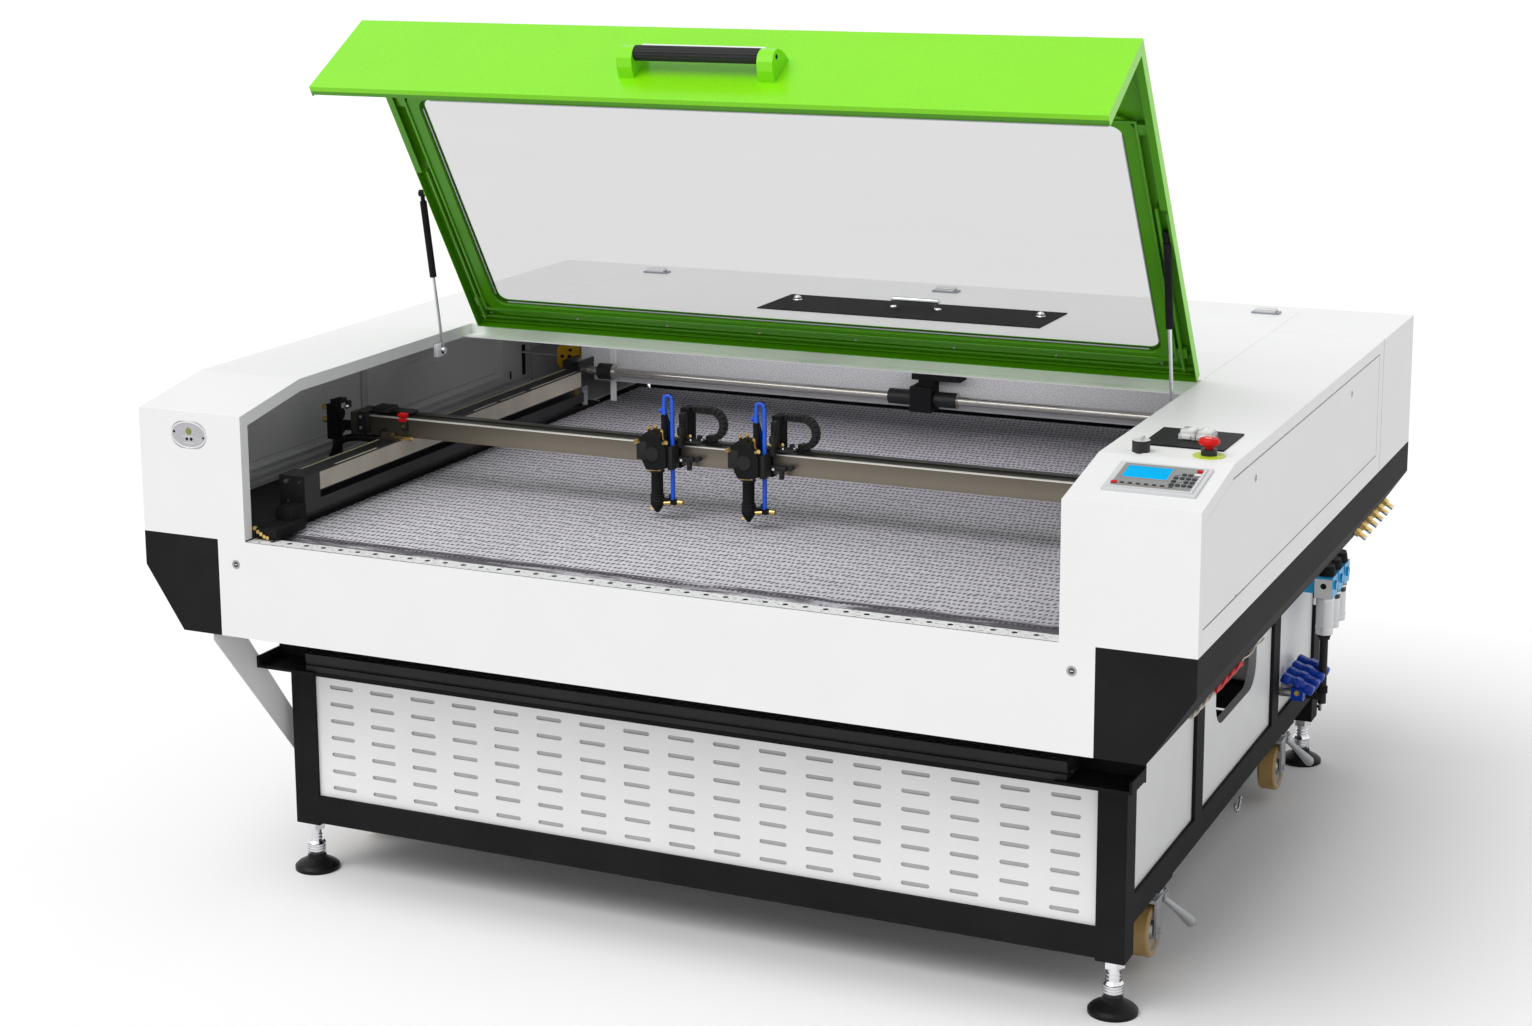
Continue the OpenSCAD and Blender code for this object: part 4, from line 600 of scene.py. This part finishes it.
def piece(name, body, material, make, mirrored=False):
    bm = bmesh.new()
    make(bm)
    if mirrored:
        copied = bmesh.ops.duplicate(bm, geom=bm.verts[:] + bm.edges[:] + bm.faces[:])["geom"]
        bmesh.ops.scale(bm, vec=(-1, 1, 1), verts=[v for v in copied if isinstance(v, bmesh.types.BMVert)])
    bmesh.ops.recalc_face_normals(bm, faces=bm.faces)
    mesh = bpy.data.meshes.new(name)
    bm.to_mesh(mesh)
    bm.free()
    mesh.polygons.foreach_set("use_smooth", [True] * len(mesh.polygons))
    mesh.set_sharp_from_angle(angle=radians(sharpAngle))
    mesh.materials.append(material)
    made = put(name, mesh)
    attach(made, body)


def parts(name, material, body="base", boxes=(), rods=(), tubes=(), balls=(), matrix=bodyPlace,
          mirrored=False):
    # Boxes are low corner, high corner and bevel
    # Rods are start, end or axis and length, and one or two radii
    def make(bm):
        for row in boxes:
            addBox(bm, row[:3], row[3:6], *row[6:7], matrix=matrix)
        for row in rods:
            end, radii = row[3:6], row[6:]
            if isinstance(row[3], str):
                end, radii = list(row[:3]), row[5:]
                end["xyz".index(row[3])] += row[4]
            addRod(bm, row[:3], end, *radii, matrix=matrix)
        for radius, points in tubes:
            addTube(bm, points, radius, matrix)
        for row in balls:
            addBall(bm, row[:3], row[3], matrix)

    piece(name, body, material, make, mirrored)


# Heads: hoses, screws, cable chain links and the nozzle's fittings

head = dict(left=-189, right=28, y=535, hoseOut=38, hoseRadius=5,
            hoseZs=(864, 900, 950, 1000, 1040, 1070, 1085),
            bendRadius=9.5, bendZ=1091.5, rings=5, ringPitch=3, beamTop=989.3)
chain = dict(start=56, y=612, pitch=11, flat=4, radius=31, links=11, middle=93, up=37)


def headDetails(side):
    x, y, body = head[side], head["y"], "head_" + side
    out, bend = head["hoseOut"], head["bendRadius"]
    route = [(x + out, y, z) for z in head["hoseZs"]]
    for k in range(1, 9):
        a = pi * k / 9
        route.append((x + out - bend + bend * cos(a), y, head["bendZ"] + bend * sin(a)))
    route += [(x + 19, y, 1085), (x + 19, y, 1066)]
    parts(side + "Hose", hoseBlue, body, tubes=[(head["hoseRadius"], route)],
          rods=[(x + 19, y, 1070, x + 8, y, 1064, 4.2), (x + 19, y, 1074, "z", -16, 6)])
    parts(side + "HoseEnd", navy, body,
          tubes=[(5.5, [(x + 20, y, 1060), (x + 23, y + 5, 1045), (x + 25, y + 10, 1025),
                        (x + 25, y + 12, 1000)])])

    bits = [(x - 38, y - 27, 998, x - 30, y - 31, 1001, 5.5),
            (x + 30, y - 27, 1000, x + 38, y - 31, 1003, 4.5)]
    for px, pz in ((-14, 1012), (2, 1017), (18, 1008), (20, 988)):
        bits.append((x + px, y - 8, pz, x + px + 2, y - 14, pz + 16, 4))
        bits.append((x + px + 1, y - 12, pz + 12, x + px + 2, y - 14, pz + 20, 2.2))
    bits += [
        (x - 12, y - 20, 939, x + 20, y - 22, 941, 4.5), (x + 50, y, 866, "x", 12, 6.5),
        (x + 43, y, 866, "x", 7, 4), (x + 18, y - 3, 862, x + 34, y - 3, 864, 4.5),
        (x - 12, y - 9, 848, x - 8, y - 14, 850, 3), (x + 49, y - 2, 1012, x + 55, y - 4, 1012, 3),
        (x + 62, y + 20, 1006, x + 74, y + 14, 1012, 3.5),
    ]
    parts(side + "Brass", brass, body, rods=bits)

    rods = [(x, y, 866 + k * head["ringPitch"], "z", 1.4, 15.6) for k in range(head["rings"])]
    rods += [
        (x, y, 930, "z", 9, 17, 14), (x + 2, y - 26, 974, "y", -3, 17, 15.5),
        (x + 51, y + 14, 1028, "z", 8, 4), (x + 92, y + 10, 962, "y", 12, 6),
        (x + 66, y + 26, 999, "z", 7, 4.5), (x + 84, y + 40, 999, "z", 9, 6),
    ]
    parts(side + "HeadParts", softBlack, body, rods=rods, boxes=[
        (x - 35.5, y - 27.6, 960, x - 12, y - 26, 1000, 0.7), (x + 34, y - 20, 940, x + 46, y + 16, 992, 2),
        (x + 45, y + 6, 985, x + 57, y + 22, 1030, 2), (x + 46, y + 4, 955, x + 84, y + 20, 966, 2),
        (x + 70, y + 2, 938, x + 78, y + 14, 958, 1), (x + 30, y + 20, 992, x + 96, y + 52, 999, 2),
        (x + 40, y + 26, 999, x + 52, y + 50, 1056, 2), (x + 28, y - 2, 868, x + 33, y + 6, 882, 1),
    ])
    parts(side + "HeadScrews", chrome, body, rods=[
        (x + 70, y + 24, 999, "z", 4, 3), (x + 50, y + 24, 1000, x + 50, y + 22, 1004, 3),
        (x + 92, y + 34, 999, "z", 4, 3), (x + 58, y + 3, 960, "y", -4, 3),
        (x + 36, y - 1, 858, "z", 8, 4),
    ])

    def links(bm):
        r = chain["radius"]
        centreX, centreZ = x + chain["middle"], head["beamTop"] + chain["up"]
        places = [(x + chain["start"] + chain["pitch"] * k, centreZ + r, 0) for k in range(chain["flat"])]
        for k in range(chain["links"]):
            a = pi / 2 - pi * k / (chain["links"] - 1)
            places.append((centreX + r * cos(a), centreZ + r * sin(a), pi / 2 - a))
        for px, pz, a in places:
            link = (bodyPlace @ Matrix.Translation(Vector((px, chain["y"], pz)) / 1000)
                    @ Matrix.Rotation(a, 4, "Y"))
            addBox(bm, (-4.4, -10, -7.2), (4.4, 10, 7.2), 1.2, 1, link)

    piece(side + "ChainLinks", body, softBlack, links)


headDetails("left")
headDetails("right")
print("heads made")


# Left end of the beam: clamps, mirror screws and the hose to it

parts("beamEndBlock", softBlack, "gantry", boxes=[
    (-966, 556, 946, -935, 564.6, 993, 3), (-938, 576, 990, -893, 622, 1003, 2),
    (-893, 590, 990, -840, 622, 996, 1.5), (-846, 556, 958, -834, 564.6, 980, 1.5),
    (-1034, 569, 1006, -1012, 590, 1017, 2), (-1006, 572, 996, -996, 584, 1012, 1.5),
], rods=[
    (-896, 556, 948, "y", 10, 10), (-878, 556, 946, "y", 10, 7),
    (-1023, 580, 940, "z", 22, 4)])
endHose = dict(radius=9, x=-1044, y=574, ring=11, ringFrom=852, ringPitch=9, ringLong=4)
hoseRoute = [(-920, 930), (-960, 930), (-1000, 927), (-1026, 916), (-1040, 896), (-1044, 872), (-1044, 850)]
hoseRings = [endHose["ringFrom"] + endHose["ringPitch"] * k for k in range(4)]
parts("beamEndHose", softBlack, "gantry",
      tubes=[(endHose["radius"], [(x, endHose["y"], z) for x, z in hoseRoute])],
      rods=[(endHose["x"], endHose["y"], z, "z", endHose["ringLong"], endHose["ring"])
            for z in hoseRings])
parts("beamClamps", red, "gantry", boxes=[
    (-860, 560, 988, -838, 576, 997, 2), (-856, 556.5, 978, -836, 565, 986, 2),
    (-844, 557, 972, -838, 565, 980, 1.5)])
parts("beamEndBrass", brass, "gantry", boxes=[(-883, 552, 937.5, -816, 559, 946, 1.2)], rods=[
    (-1054, 568, 995, "x", 20, 4.2), (-1064, 568, 995, "x", 13, 6.5),
    (-1054, 568, 966, "x", 20, 4.2), (-1064, 568, 966, "x", 13, 6.5),
    (-842, 555, 970, "y", 5, 4), (-870, 551, 946, -864, 551, 952, 3)])
parts("beamEndScrews", chrome, "gantry", balls=[(-1001, 570, 1000, 6)], rods=[
    (-955, 554, 982, "y", 3, 3.5), (-955, 554, 957, "y", 3, 3.5), (-896, 554, 948, "y", 3, 4),
    (-878, 554, 946, "y", 3, 3), (-1023, 566, 984, "y", 3, 5)])

# Rail brackets, the belt's corner blocks and the yellow mirror's knobs

parts("railScrews", chrome, mirrored=True, rods=[
    (897, 167.4, 924, "y", -4.4, 5), (864, 167.4, 923, "y", -2.4, 2.6), (893, 167.4, 880, "y", -2.4, 2.4)])
parts("beltCornerBlocks", black, boxes=[
    (-889, 30, 830.5, -832, 140, 852, 3), (-889, 110, 830.5, -846, 166, 880, 3),
    (-852, 40, 826, -844, 60, 832, 1)])
parts("beltCornerScrews", brass, rods=[
    (x, 31, z, "y", -5, 4.2) for x, z in ((-885, 853), (-877, 846), (-869, 842), (-861, 837), (-853, 835))])
parts("beltEdgeSeals", black, mirrored=True, boxes=[(871, 60, 821, 889, 1568, 827.6, 1)])
parts("frontLipSeal", black, boxes=[(-868, 6, 816, 868, 41, 819, 1)])
parts("rearSlotFlap", black, boxes=[(-892, 1903, 786, 892, 1906, 842, 0.8)] + [
    (-872 + 109 * k, 1901.6, 790, -869 + 109 * k, 1903.4, 838, 0.5) for k in range(17)])
parts("lipHoles", black, rods=[
    (k * lip["pitch"], lip["y"], lip["top"] - 0.5, "z", 0.8, 5.6)
    for k in range(-lip["count"], lip["count"] + 1)])
parts("mirrorKnobs", black, rods=[
    (-964, 1541, 947.5, "y", -7, 4), (-939, 1541, 966, "y", -7, 4),
    (-917.5, 1541, 948, "y", -7, 4), (-943, 1541, 946, "y", -5, 7, 5)])
parts("mirrorPlate", yellow, boxes=[(-958, 1538, 962, -912, 1543, 980, 3)])
print("beam and rail ends made")


# Inner walls of the housings: fold lines, posts and ledges

wall = dict(face=1147.2, proud=2.6, line=2.4)


def wallBar(y0, y1, z0, z1, proud=wall["proud"]):
    return (wall["face"] - proud, y0, z0, wall["face"], y1, z1, 0.8)


doorLines = [wallBar(y0, y1, z, z + wall["line"]) for y0, y1, z in (
    (514, 771, 1003), (588, 814, 988), (879, 1112, 998), (873, 1227, 980))]
doorPost = [wallBar(855, 874, 896, 1060, 8), wallBar(300, 1500, 893, 896)]
ledges = [wallBar(60, 1570, 851, 858, 6), wallBar(60, 1570, 838, 841, 4)]
rearPost = [wallBar(1676, 1690, 840, 1100, 8), wallBar(1577, 1676, 852, 857, 8)]
rearSlots = [wallBar(1647, 1665, 863, 945, 1.2), wallBar(1579, 1587, 863, 885, 1.2)]
for side, name in ((-1, "left"), (1, "right")):
    flip = bodyPlace @ Matrix.Diagonal((side, 1, 1, 1))
    for ending, body, material, bars in (
            ("WallLines", "door_" + name, edgeGrey, doorLines),
            ("WallPost", "door_" + name, foldGrey, doorPost),
            ("WallLedge", "base", foldGrey, ledges), ("RearPost", "base", foldGrey, rearPost),
            ("RearSlots", "base", black, rearSlots)):
        parts(name + ending, material, body, boxes=bars, matrix=flip)
print("inner walls made")


# Control panel: screen and keys on the sloping front

def keys(bm):
    for i in range(7):
        addBox(bm, (-58 + i * 15, -46, 8), (-50 + i * 15, -40, 11.4), 1.0, 2, panelPlace)
    for i in range(4):
        for j in range(4):
            if (i, j) not in ((3, 3), (1, 1), (0, 3)):
                x, y = 30 + i * 11.5, -36 + j * 16
                addBox(bm, (x, y, 8), (x + 8.5, y + 9, 11.4), 2.2, 2, panelPlace)


parts("screen", paint("screenBlue", tones["screen"], 0.5, scale=30, gloss=0.03),
      boxes=[(-64, -13, 7.4, 20, 41, 8.6, 0.5)], matrix=panelPlace)
piece("panelKeys", "base", keyGrey, keys)
parts("panelRedKeys", red, matrix=panelPlace,
      boxes=[(-75, -46, 8, -64, -36, 11, 1.5), (64, 32, 8, 74, 41, 11.4, 3)])
parts("screenFrame", keyTan, matrix=panelPlace, boxes=[
    (-67, 41, 8, 23, 43, 9, 0.4), (-67, -15, 8, 23, -13, 9, 0.4),
    (-66, -15, 8, -64, 43, 9, 0.4), (20, -15, 8, 22, 43, 9, 0.4),
] + [(-60 + i * 15, -48, 8, -48 + i * 15, -38, 9, 0.4) for i in range(7)])
parts("panelKeyPlate", edgeGrey, matrix=panelPlace, boxes=[(63, 18, 8, 75, 26, 10, 1)])

stop = dict(x=1090, y=268, z=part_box("estop_button")[1].z * 1000, arrow=9.5, line=1.1, sink=0.4)


def stopArrows(bm):
    for k in range(3):
        arc = [radians(120 * k + 12 * i) for i in range(7)]
        addTube(bm, [(stop["x"] + stop["arrow"] * cos(a), stop["y"] + stop["arrow"] * sin(a),
                      stop["z"] - stop["sink"]) for a in arc], stop["line"])


piece("stopArrows", "stop_button", paint("arrowPink", (0.80, 0.50, 0.46)), stopArrows)
ports = dict(centres=(1018, 1052), lower=16.6, upper=14.6, latch=8)
parts("portCaps", pearl, boxes=[
    row for x in ports["centres"] for row in (
        (x - ports["lower"], 374, 1140.5, x + ports["lower"], 416, 1150.6, 4),
        (x - ports["upper"], 377, 1149, x + ports["upper"], 413, 1158.5, 4.5))])
parts("portLatches", edgeGrey, boxes=[
    (x - ports["latch"], 370, 1141, x + ports["latch"], 375, 1150, 1.5) for x in ports["centres"]])
parts("keyPlate", pale, boxes=[(943, 236, 1136.6, 987, 268, 1138.2, 0.7)])
print("controls made")


# Locks of the front panel and the doors, and the plate on the left front

def lockSet(name, body, place, centres, rim):
    # Each lock is a rim, a dark face and a slot
    rims, faces, slots = [], [], []
    for u, z in centres:
        rims.append((u, 0.5, z, "y", -0.7, rim["radius"]))
        faces.append((u, 0, z, "y", -0.35, 6.2, 5.6))
        slots.append((u - 3.4, -0.5, z - 0.8, u + 3.4, 0, z + 0.8, 0.2))
    parts(name + "Rims", rim["look"], body, rods=rims, matrix=place)
    parts(name + "Faces", keyGrey, body, rods=faces, matrix=place)
    parts(name + "Slots", edgeGrey, body, boxes=slots, matrix=place)


frontRim, doorRim = dict(radius=9.6, look=castGrey), dict(radius=9.0, look=silver)
frontLocks, doorLocks = dict(x=917, z=777), dict(ys=(389, 1238), z=1074, face=1.15)
lockSet("frontLock", "base", bodyPlace, [(s * frontLocks["x"], frontLocks["z"]) for s in (-1, 1)], frontRim)
for side, name in ((1, "right"), (-1, "left")):
    face = Matrix.Translation((side * doorLocks["face"], 0, 0)) @ Matrix.Rotation(side * pi / 2, 4, "Z")
    centres = [(side * (y + frontY * 1000), doorLocks["z"]) for y in doorLocks["ys"]]
    lockSet(name + "DoorLock", "door_" + name, face, centres, doorRim)
parts("doorSlotLines", keyGrey, mirrored=True, boxes=[
    (1149.2, 52, 873.6, 1150.3, 338, 874.8, 0.2), (1149.2, 258, 874, 1150.3, 264, 879, 0.2)])

oval = dict(x=-1023, z=1048, rim=(43.5, 27.5), steps=40)
plateY = (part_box("indicator_window")[0].y - frontY) * 1000
parts("ovalDots", black, rods=[
    (oval["x"] + u, plateY + 0.5, oval["z"] + v, "y", -1.3, r)
    for u, v, r in ((-37, 5, 2.6), (37, -4, 2.4), (-5, -9, 3.2), (6, -8.5, 3.4))])
parts("ovalChip", paint("chipGreen", (0.22, 0.24, 0.06), vary=0.15),
      rods=[(oval["x"], plateY + 0.5, oval["z"] + 8, "y", -1.5, 8, 7)])
parts("ovalRim", edgeGrey, tubes=[(1.3, [
    (oval["x"] + oval["rim"][0] * cos(a), plateY, oval["z"] + oval["rim"][1] * sin(a))
    for a in [2 * pi * k / oval["steps"] for k in range(oval["steps"] + 1)]])])
parts("ovalMarks", edgeGrey, boxes=[
    (oval["x"] - 18, plateY - 0.5, oval["z"] - 4, oval["x"] + 13, plateY + 0.5, oval["z"] - 3, 0.2),
    (oval["x"] - 12, plateY - 0.5, oval["z"] - 18, oval["x"] + 14, plateY + 0.5, oval["z"] - 17, 0.2)])
print("locks made")


# Lid: screws along the hinge, ledges round the window, grip ribs and strut ends

lidMid = lidPlace @ Matrix.Translation((lid["middle"] / 1000, 0, 0))
parts("lidLedge", limeInside, "lid", matrix=lidMid, boxes=[
    (-835, -64, -18, 835, -58, -14, 0.8), (-835, -700, -18, 835, -694, -14, 0.8),
    (-838, -700, -18, -832, -58, -14, 0.8), (832, -700, -18, 838, -58, -14, 0.8),
    (-851, -480, -20, -845, -30, -2, 1), (845, -480, -20, 851, -30, -2, 1),
    (-866, -34, -12, 866, -29, -2, 1), (-866, -16, -10, 866, -12, -2, 1)])
parts("lidBrackets", limeInside, "lid", matrix=lidMid, boxes=[
    row for s in (-1, 1) for row in (
        (s * 847 - 13, -92, -16, s * 847 + 13, -66, -2, 2),
        (s * 847 - 13, -690, -16, s * 847 + 13, -664, -2, 2))] + [
    (867, -470, -22, 872, -350, -19.8, 1)])
parts("paneEdge", paint("paneEdge", (0.50, 0.52, 0.53), 0.3, vary=0.03), "lid",
      matrix=lidMid, boxes=[
    (-776, -80, -8.4, 776, -77, -7, 0.5), (-776, -679, -8.4, 776, -676, -7, 0.5),
    (-802, -654, -8.4, -799, -102, -7, 0.5), (799, -654, -8.4, 802, -102, -7, 0.5)])
lidScrews = dict(first=-816, pitch=233, count=8)
parts("lidScrews", steel, "lid", matrix=lidPlace, rods=[
    row for x in [lidScrews["first"] + k * lidScrews["pitch"] for k in range(lidScrews["count"])]
    for row in ((x, -46, -13.8, "z", -2, 3.4, 2.6), (x, -20, -0.2, "z", 1.4, 3.2, 2.4))])
grip = dict(start=-119, end=155, out=-38, drop=-146, radius=14.6, rib=1.5, ribs=16,
            screws=((-153.6, -1), (189.6, 1)))
ribTurns = [2 * pi * k / grip["ribs"] for k in range(grip["ribs"])]
ribPlaces = [(grip["out"] + grip["radius"] * cos(a), grip["drop"] + grip["radius"] * sin(a))
             for a in ribTurns]
parts("gripRibs", softBlack, "lid", matrix=flapPlace,
      rods=[(grip["start"], y, z, grip["end"], y, z, grip["rib"]) for y, z in ribPlaces])
parts("gripStrip", paint("stripWhite", (0.85, 0.85, 0.85), 0.35, vary=0.03), "lid",
      matrix=flapPlace,
      boxes=[(grip["start"], -37, -133, grip["end"], -34, -112, 1)])
parts("gripScrews", black, "lid", matrix=flapPlace, rods=[
    (x, grip["out"], grip["drop"], "x", d, 5.4, 4.8) for x, d in grip["screws"]])
strutTop = dict(y=-410, z=-14, pins=((868, 886, 3.4), (-880.5, -861, 3.6)))
parts("strutTopBalls", chrome, "lid", matrix=lidPlace, rods=[
    (x0, strutTop["y"], strutTop["z"], x1, strutTop["y"], strutTop["z"], r)
    for x0, x1, r in strutTop["pins"]])
parts("strutFeet", edgeGrey, mirrored=True, boxes=[
    (880, 776, 1086, 890.5, 808, 1116, 1.5)], balls=[(874, 792, 1101, 7.4)])
print("lid made")


# Cover: rounded latches, screws and pull of the hatch

latch = dict(y=1811, centres=(-820, 0, 820))
parts("coverLatches", silver, "cover", boxes=[
    (x - 26, latch["y"] - 13, 1141.5, x + 26, latch["y"] + 13, 1149.5, 3) for x in latch["centres"]])
parts("coverLatchBases", paint("latchShade", (0.30, 0.30, 0.36), 0.3, 0.4, vary=0.06),
      "cover", boxes=[
    (x - 33, latch["y"] - 18, 1137.2, x + 33, latch["y"] + 17.5, 1141.8, 1.6) for x in latch["centres"]])
screwXs, footXs = ([hatch["middle"] + s * hatch[k] for s in (-1, 1)] for k in ("screw", "foot"))
parts("hatchScrews", chrome, "cover", balls=[(x, hatch["screwY"], 1142, 9) for x in screwXs],
      rods=[(x, hatch["screwY"], 1139, "z", 2.5, 12, 10) for x in screwXs])
parts("hatchPull", chrome, "cover", boxes=[
    (hatch["middle"] - hatch["bar"], 1535, 1155, hatch["middle"] + hatch["bar"], 1553, 1161, 2.6)],
      rods=[(x, hatch["footY"], 1139, "z", 3, 9, 7) for x in footXs])
print("cover made")


# Base: sheet behind the slots, board and bar behind the window, cables and air fittings on the right

parts("slotBacking", grilleBack, boxes=[
    (-884, 254, 184, 884, 255.5, 462, 0.4), (-884, 254, 184, 884, 276, 186, 0.6),
    (-884, 254, 460, 884, 276, 462, 0.6)])
parts("windowBoard", boardGreen, boxes=[
    (820, 1330, 300, 824, 1440, 640, 1), (826, 1350, 420, 834, 1420, 470, 2)])
parts("windowInside", softBlack, boxes=[
    (780, 930, 240, 812, 1300, 640, 3), (812, 960, 280, 850, 1120, 420, 4),
    (812, 1140, 300, 845, 1290, 380, 4)])
parts("windowBar", edgeGrey, boxes=[(924, 1050, 440, 930, 1150, 447, 1.5)])
cable = dict(x=1053, z=604, start=330, redFrom=503, redTo=713, end=900, wide=2, high=2.4, count=12)


def twist(start, end, phase):
    return [(cable["x"] + cable["wide"] * cos(phase + k), start + (end - start) * k / cable["count"],
             cable["z"] + cable["high"] * sin(phase + k)) for k in range(cable["count"] + 1)]


parts("redCable", red, tubes=[
    (4.6, twist(cable["redFrom"], cable["redTo"], p)) for p in (0, pi)])
parts("tanCable", tan, tubes=[
    (2.6, twist(cable["start"], cable["redFrom"], p)) for p in (0, pi)] + [
    (2.0, twist(cable["redTo"], cable["end"], 0.7))])

levers = dict(x=1000, first=1491, pitch=52, count=4, z=325, tilt=20, screwZ=303)
leverYs = [levers["first"] + i * levers["pitch"] for i in range(levers["count"])]


def leverWings(bm):
    # Paddles over the ends of each lever and a cap on its stem
    for y in leverYs:
        middle = (levers["x"] / 1000, y / 1000, levers["z"] / 1000)
        place = bodyPlace @ Matrix.Translation(middle) @ Matrix.Rotation(radians(levers["tilt"]), 4, "Y")
        for s in (-1, 1):
            addBox(bm, (s * 28 - 12, -12, -15), (s * 28 + 12, 12, 7), 5, 3, place)
        addBox(bm, (-20, -10.5, -7), (20, 10.5, 7), 3, 2, place)
        addRod(bm, (0, 0, -8), (0, 0, 10), 12, 10, 24, place)


piece("leverWings", "base", royal, leverWings)
parts("leverScrews", brass, rods=[
    (levers["x"], y - 12, levers["screwZ"], "y", -4, 7.5, 6) for y in leverYs])

filters = dict(x=1028, first=1621, pitch=66, count=3, portZ=534)


def filterRod(i, low, high, *radii, out=0, forward=0):
    # An upright round on the middle line of one filter, or beside it
    x, y = filters["x"] - out, filters["first"] - forward + i * filters["pitch"]
    return (x, y, low, x, y, high, *radii)


parts("filterPort", black, rods=[
    (filters["x"], filters["first"] - 27, filters["portZ"], "y", -1.6, 7.6, 7)])
parts("filterRims", silver, rods=[
    filterRod(i, z, z + 5, r, r2) for i in range(filters["count"])
    for z, r, r2 in ((425, 21.2, 21.4), (496, 22, 22))] + [filterRod(0, 486, 502, 4, out=21.4, forward=20)])
parts("filterKnobs", black,
      rods=[filterRod(i, 557, 579, 22, 19) for i in range(filters["count"])])
parts("pipeCollars", black, rods=[
    filterRod(0, 398, 413, 12, 18), filterRod(0, 266, 282, 13)])
parts("pipeFitting", chrome, rods=[filterRod(0, 222, 241, 8), filterRod(0, 229, 236, 11)])
print("right side made")


# Feet, front rail and the loop under the side beam

footDisc = dict(x=928, ys=(273, 1870), radius=50, ribs=20, rib=6.2, low=0.3, high=10)
feet = [(side * footDisc["x"], y) for side in (-1, 1) for y in footDisc["ys"]]


def discRibs(bm):
    r = footDisc["radius"] - footDisc["rib"]
    for footX, footY in feet:
        for k in range(footDisc["ribs"]):
            a = 2 * pi * k / footDisc["ribs"]
            x, y = footX + r * cos(a), footY + r * sin(a)
            addRod(bm, (x, y, footDisc["low"]), (x, y, footDisc["high"]),
                   footDisc["rib"], footDisc["rib"] - 1.5, 10)


piece("footRibs", "base", black, discRibs)
nuts = ((36, 6, 19, 21), (44, 4, 21, 21), (50, 4, 21, 21), (56, 4, 21, 21), (62, 6, 21, 17), (72, 3, 15, 15),
        (80, 3, 15, 15))
parts("footNuts", chrome, rods=[
    (x, y, z, "z", high, r, r2) for x, y in feet for z, high, r, r2 in nuts])
parts("railEndScrews", chrome, mirrored=True, rods=[(891, 168, 574, "x", 8, 5, 4)])
tie = dict(x=938, y=1195, z=140, wide=28, high=38, wire=2.4, bead=3.8)


def tiePoint(degrees):
    a = radians(degrees)
    return (tie["x"], tie["y"] + tie["wide"] * cos(a), tie["z"] + tie["high"] * sin(a))


parts("tieLoop", darkChrome,
      tubes=[(tie["wire"], [tiePoint(200 + 17.5 * k) for k in range(9)])],
      balls=[(*tiePoint(215 + 20 * k), tie["bead"]) for k in range(7)])
print("base made")


# Floor and light

floorMesh = bpy.data.meshes.new("floor")
grid = bmesh.new()
bmesh.ops.create_grid(grid, x_segments=2, y_segments=2, size=150)
grid.to_mesh(floorMesh)
grid.free()
floor = put("floor", floorMesh)


def seenDirectly(tree):
    # One for what the camera sees itself, in a mirror or through a pane
    rays = tree.nodes.new("ShaderNodeLightPath")
    seen = mathNode(tree, "MAXIMUM", rays.outputs["Is Camera Ray"], rays.outputs["Is Glossy Ray"])
    return mathNode(tree, "MAXIMUM", seen, rays.outputs["Is Transmission Ray"])


def floorPattern(tree, place, base):
    return mixColour(tree, seenDirectly(tree), base, (0.97, 0.97, 0.97))


floorMesh.materials.append(
    paint("floorLook", (0.84, 0.84, 0.84), 0.85, vary=0.008, scale=0.5, grain=0, pattern=floorPattern))

light = dict(world=0.59, sun=1.85, softness=50, fromWhere=(-0.25, -0.50, 0.83))
world = bpy.data.worlds.new("world")
scene.world = world
world.use_nodes = True
backdrop = world.node_tree.nodes["Background"]
backdrop.inputs["Color"].default_value = (1, 1, 1, 1)
strength = mixNumber(world.node_tree, seenDirectly(world.node_tree), light["world"], 1.0)
world.node_tree.links.new(strength, backdrop.inputs["Strength"])
lamp = bpy.data.lights.new("sun", "SUN")
lamp.energy = light["sun"]
lamp.angle = radians(light["softness"])
sun = put("sun", lamp)
sun.rotation_euler = Vector(light["fromWhere"]).to_track_quat("Z", "Y").to_euler()

# A work light under the back of the opening, shining back on the baffle and the rear of the belt
inner = dict(power=1.25, long=1.6, wide=0.1, place=(0, 1180, 1100), fromWhere=(0, -0.75, 0.66))
strip = bpy.data.lights.new("strip", "AREA")
strip.shape = "RECTANGLE"
strip.size = inner["long"]
strip.size_y = inner["wide"]
strip.energy = inner["power"]
stripObject = put("strip", strip)
stripObject.location = at(*inner["place"])
stripObject.rotation_euler = Vector(inner["fromWhere"]).to_track_quat("Z", "Y").to_euler()
stripObject.visible_camera = False

scene.view_settings.view_transform = "Standard"

print("scene made")
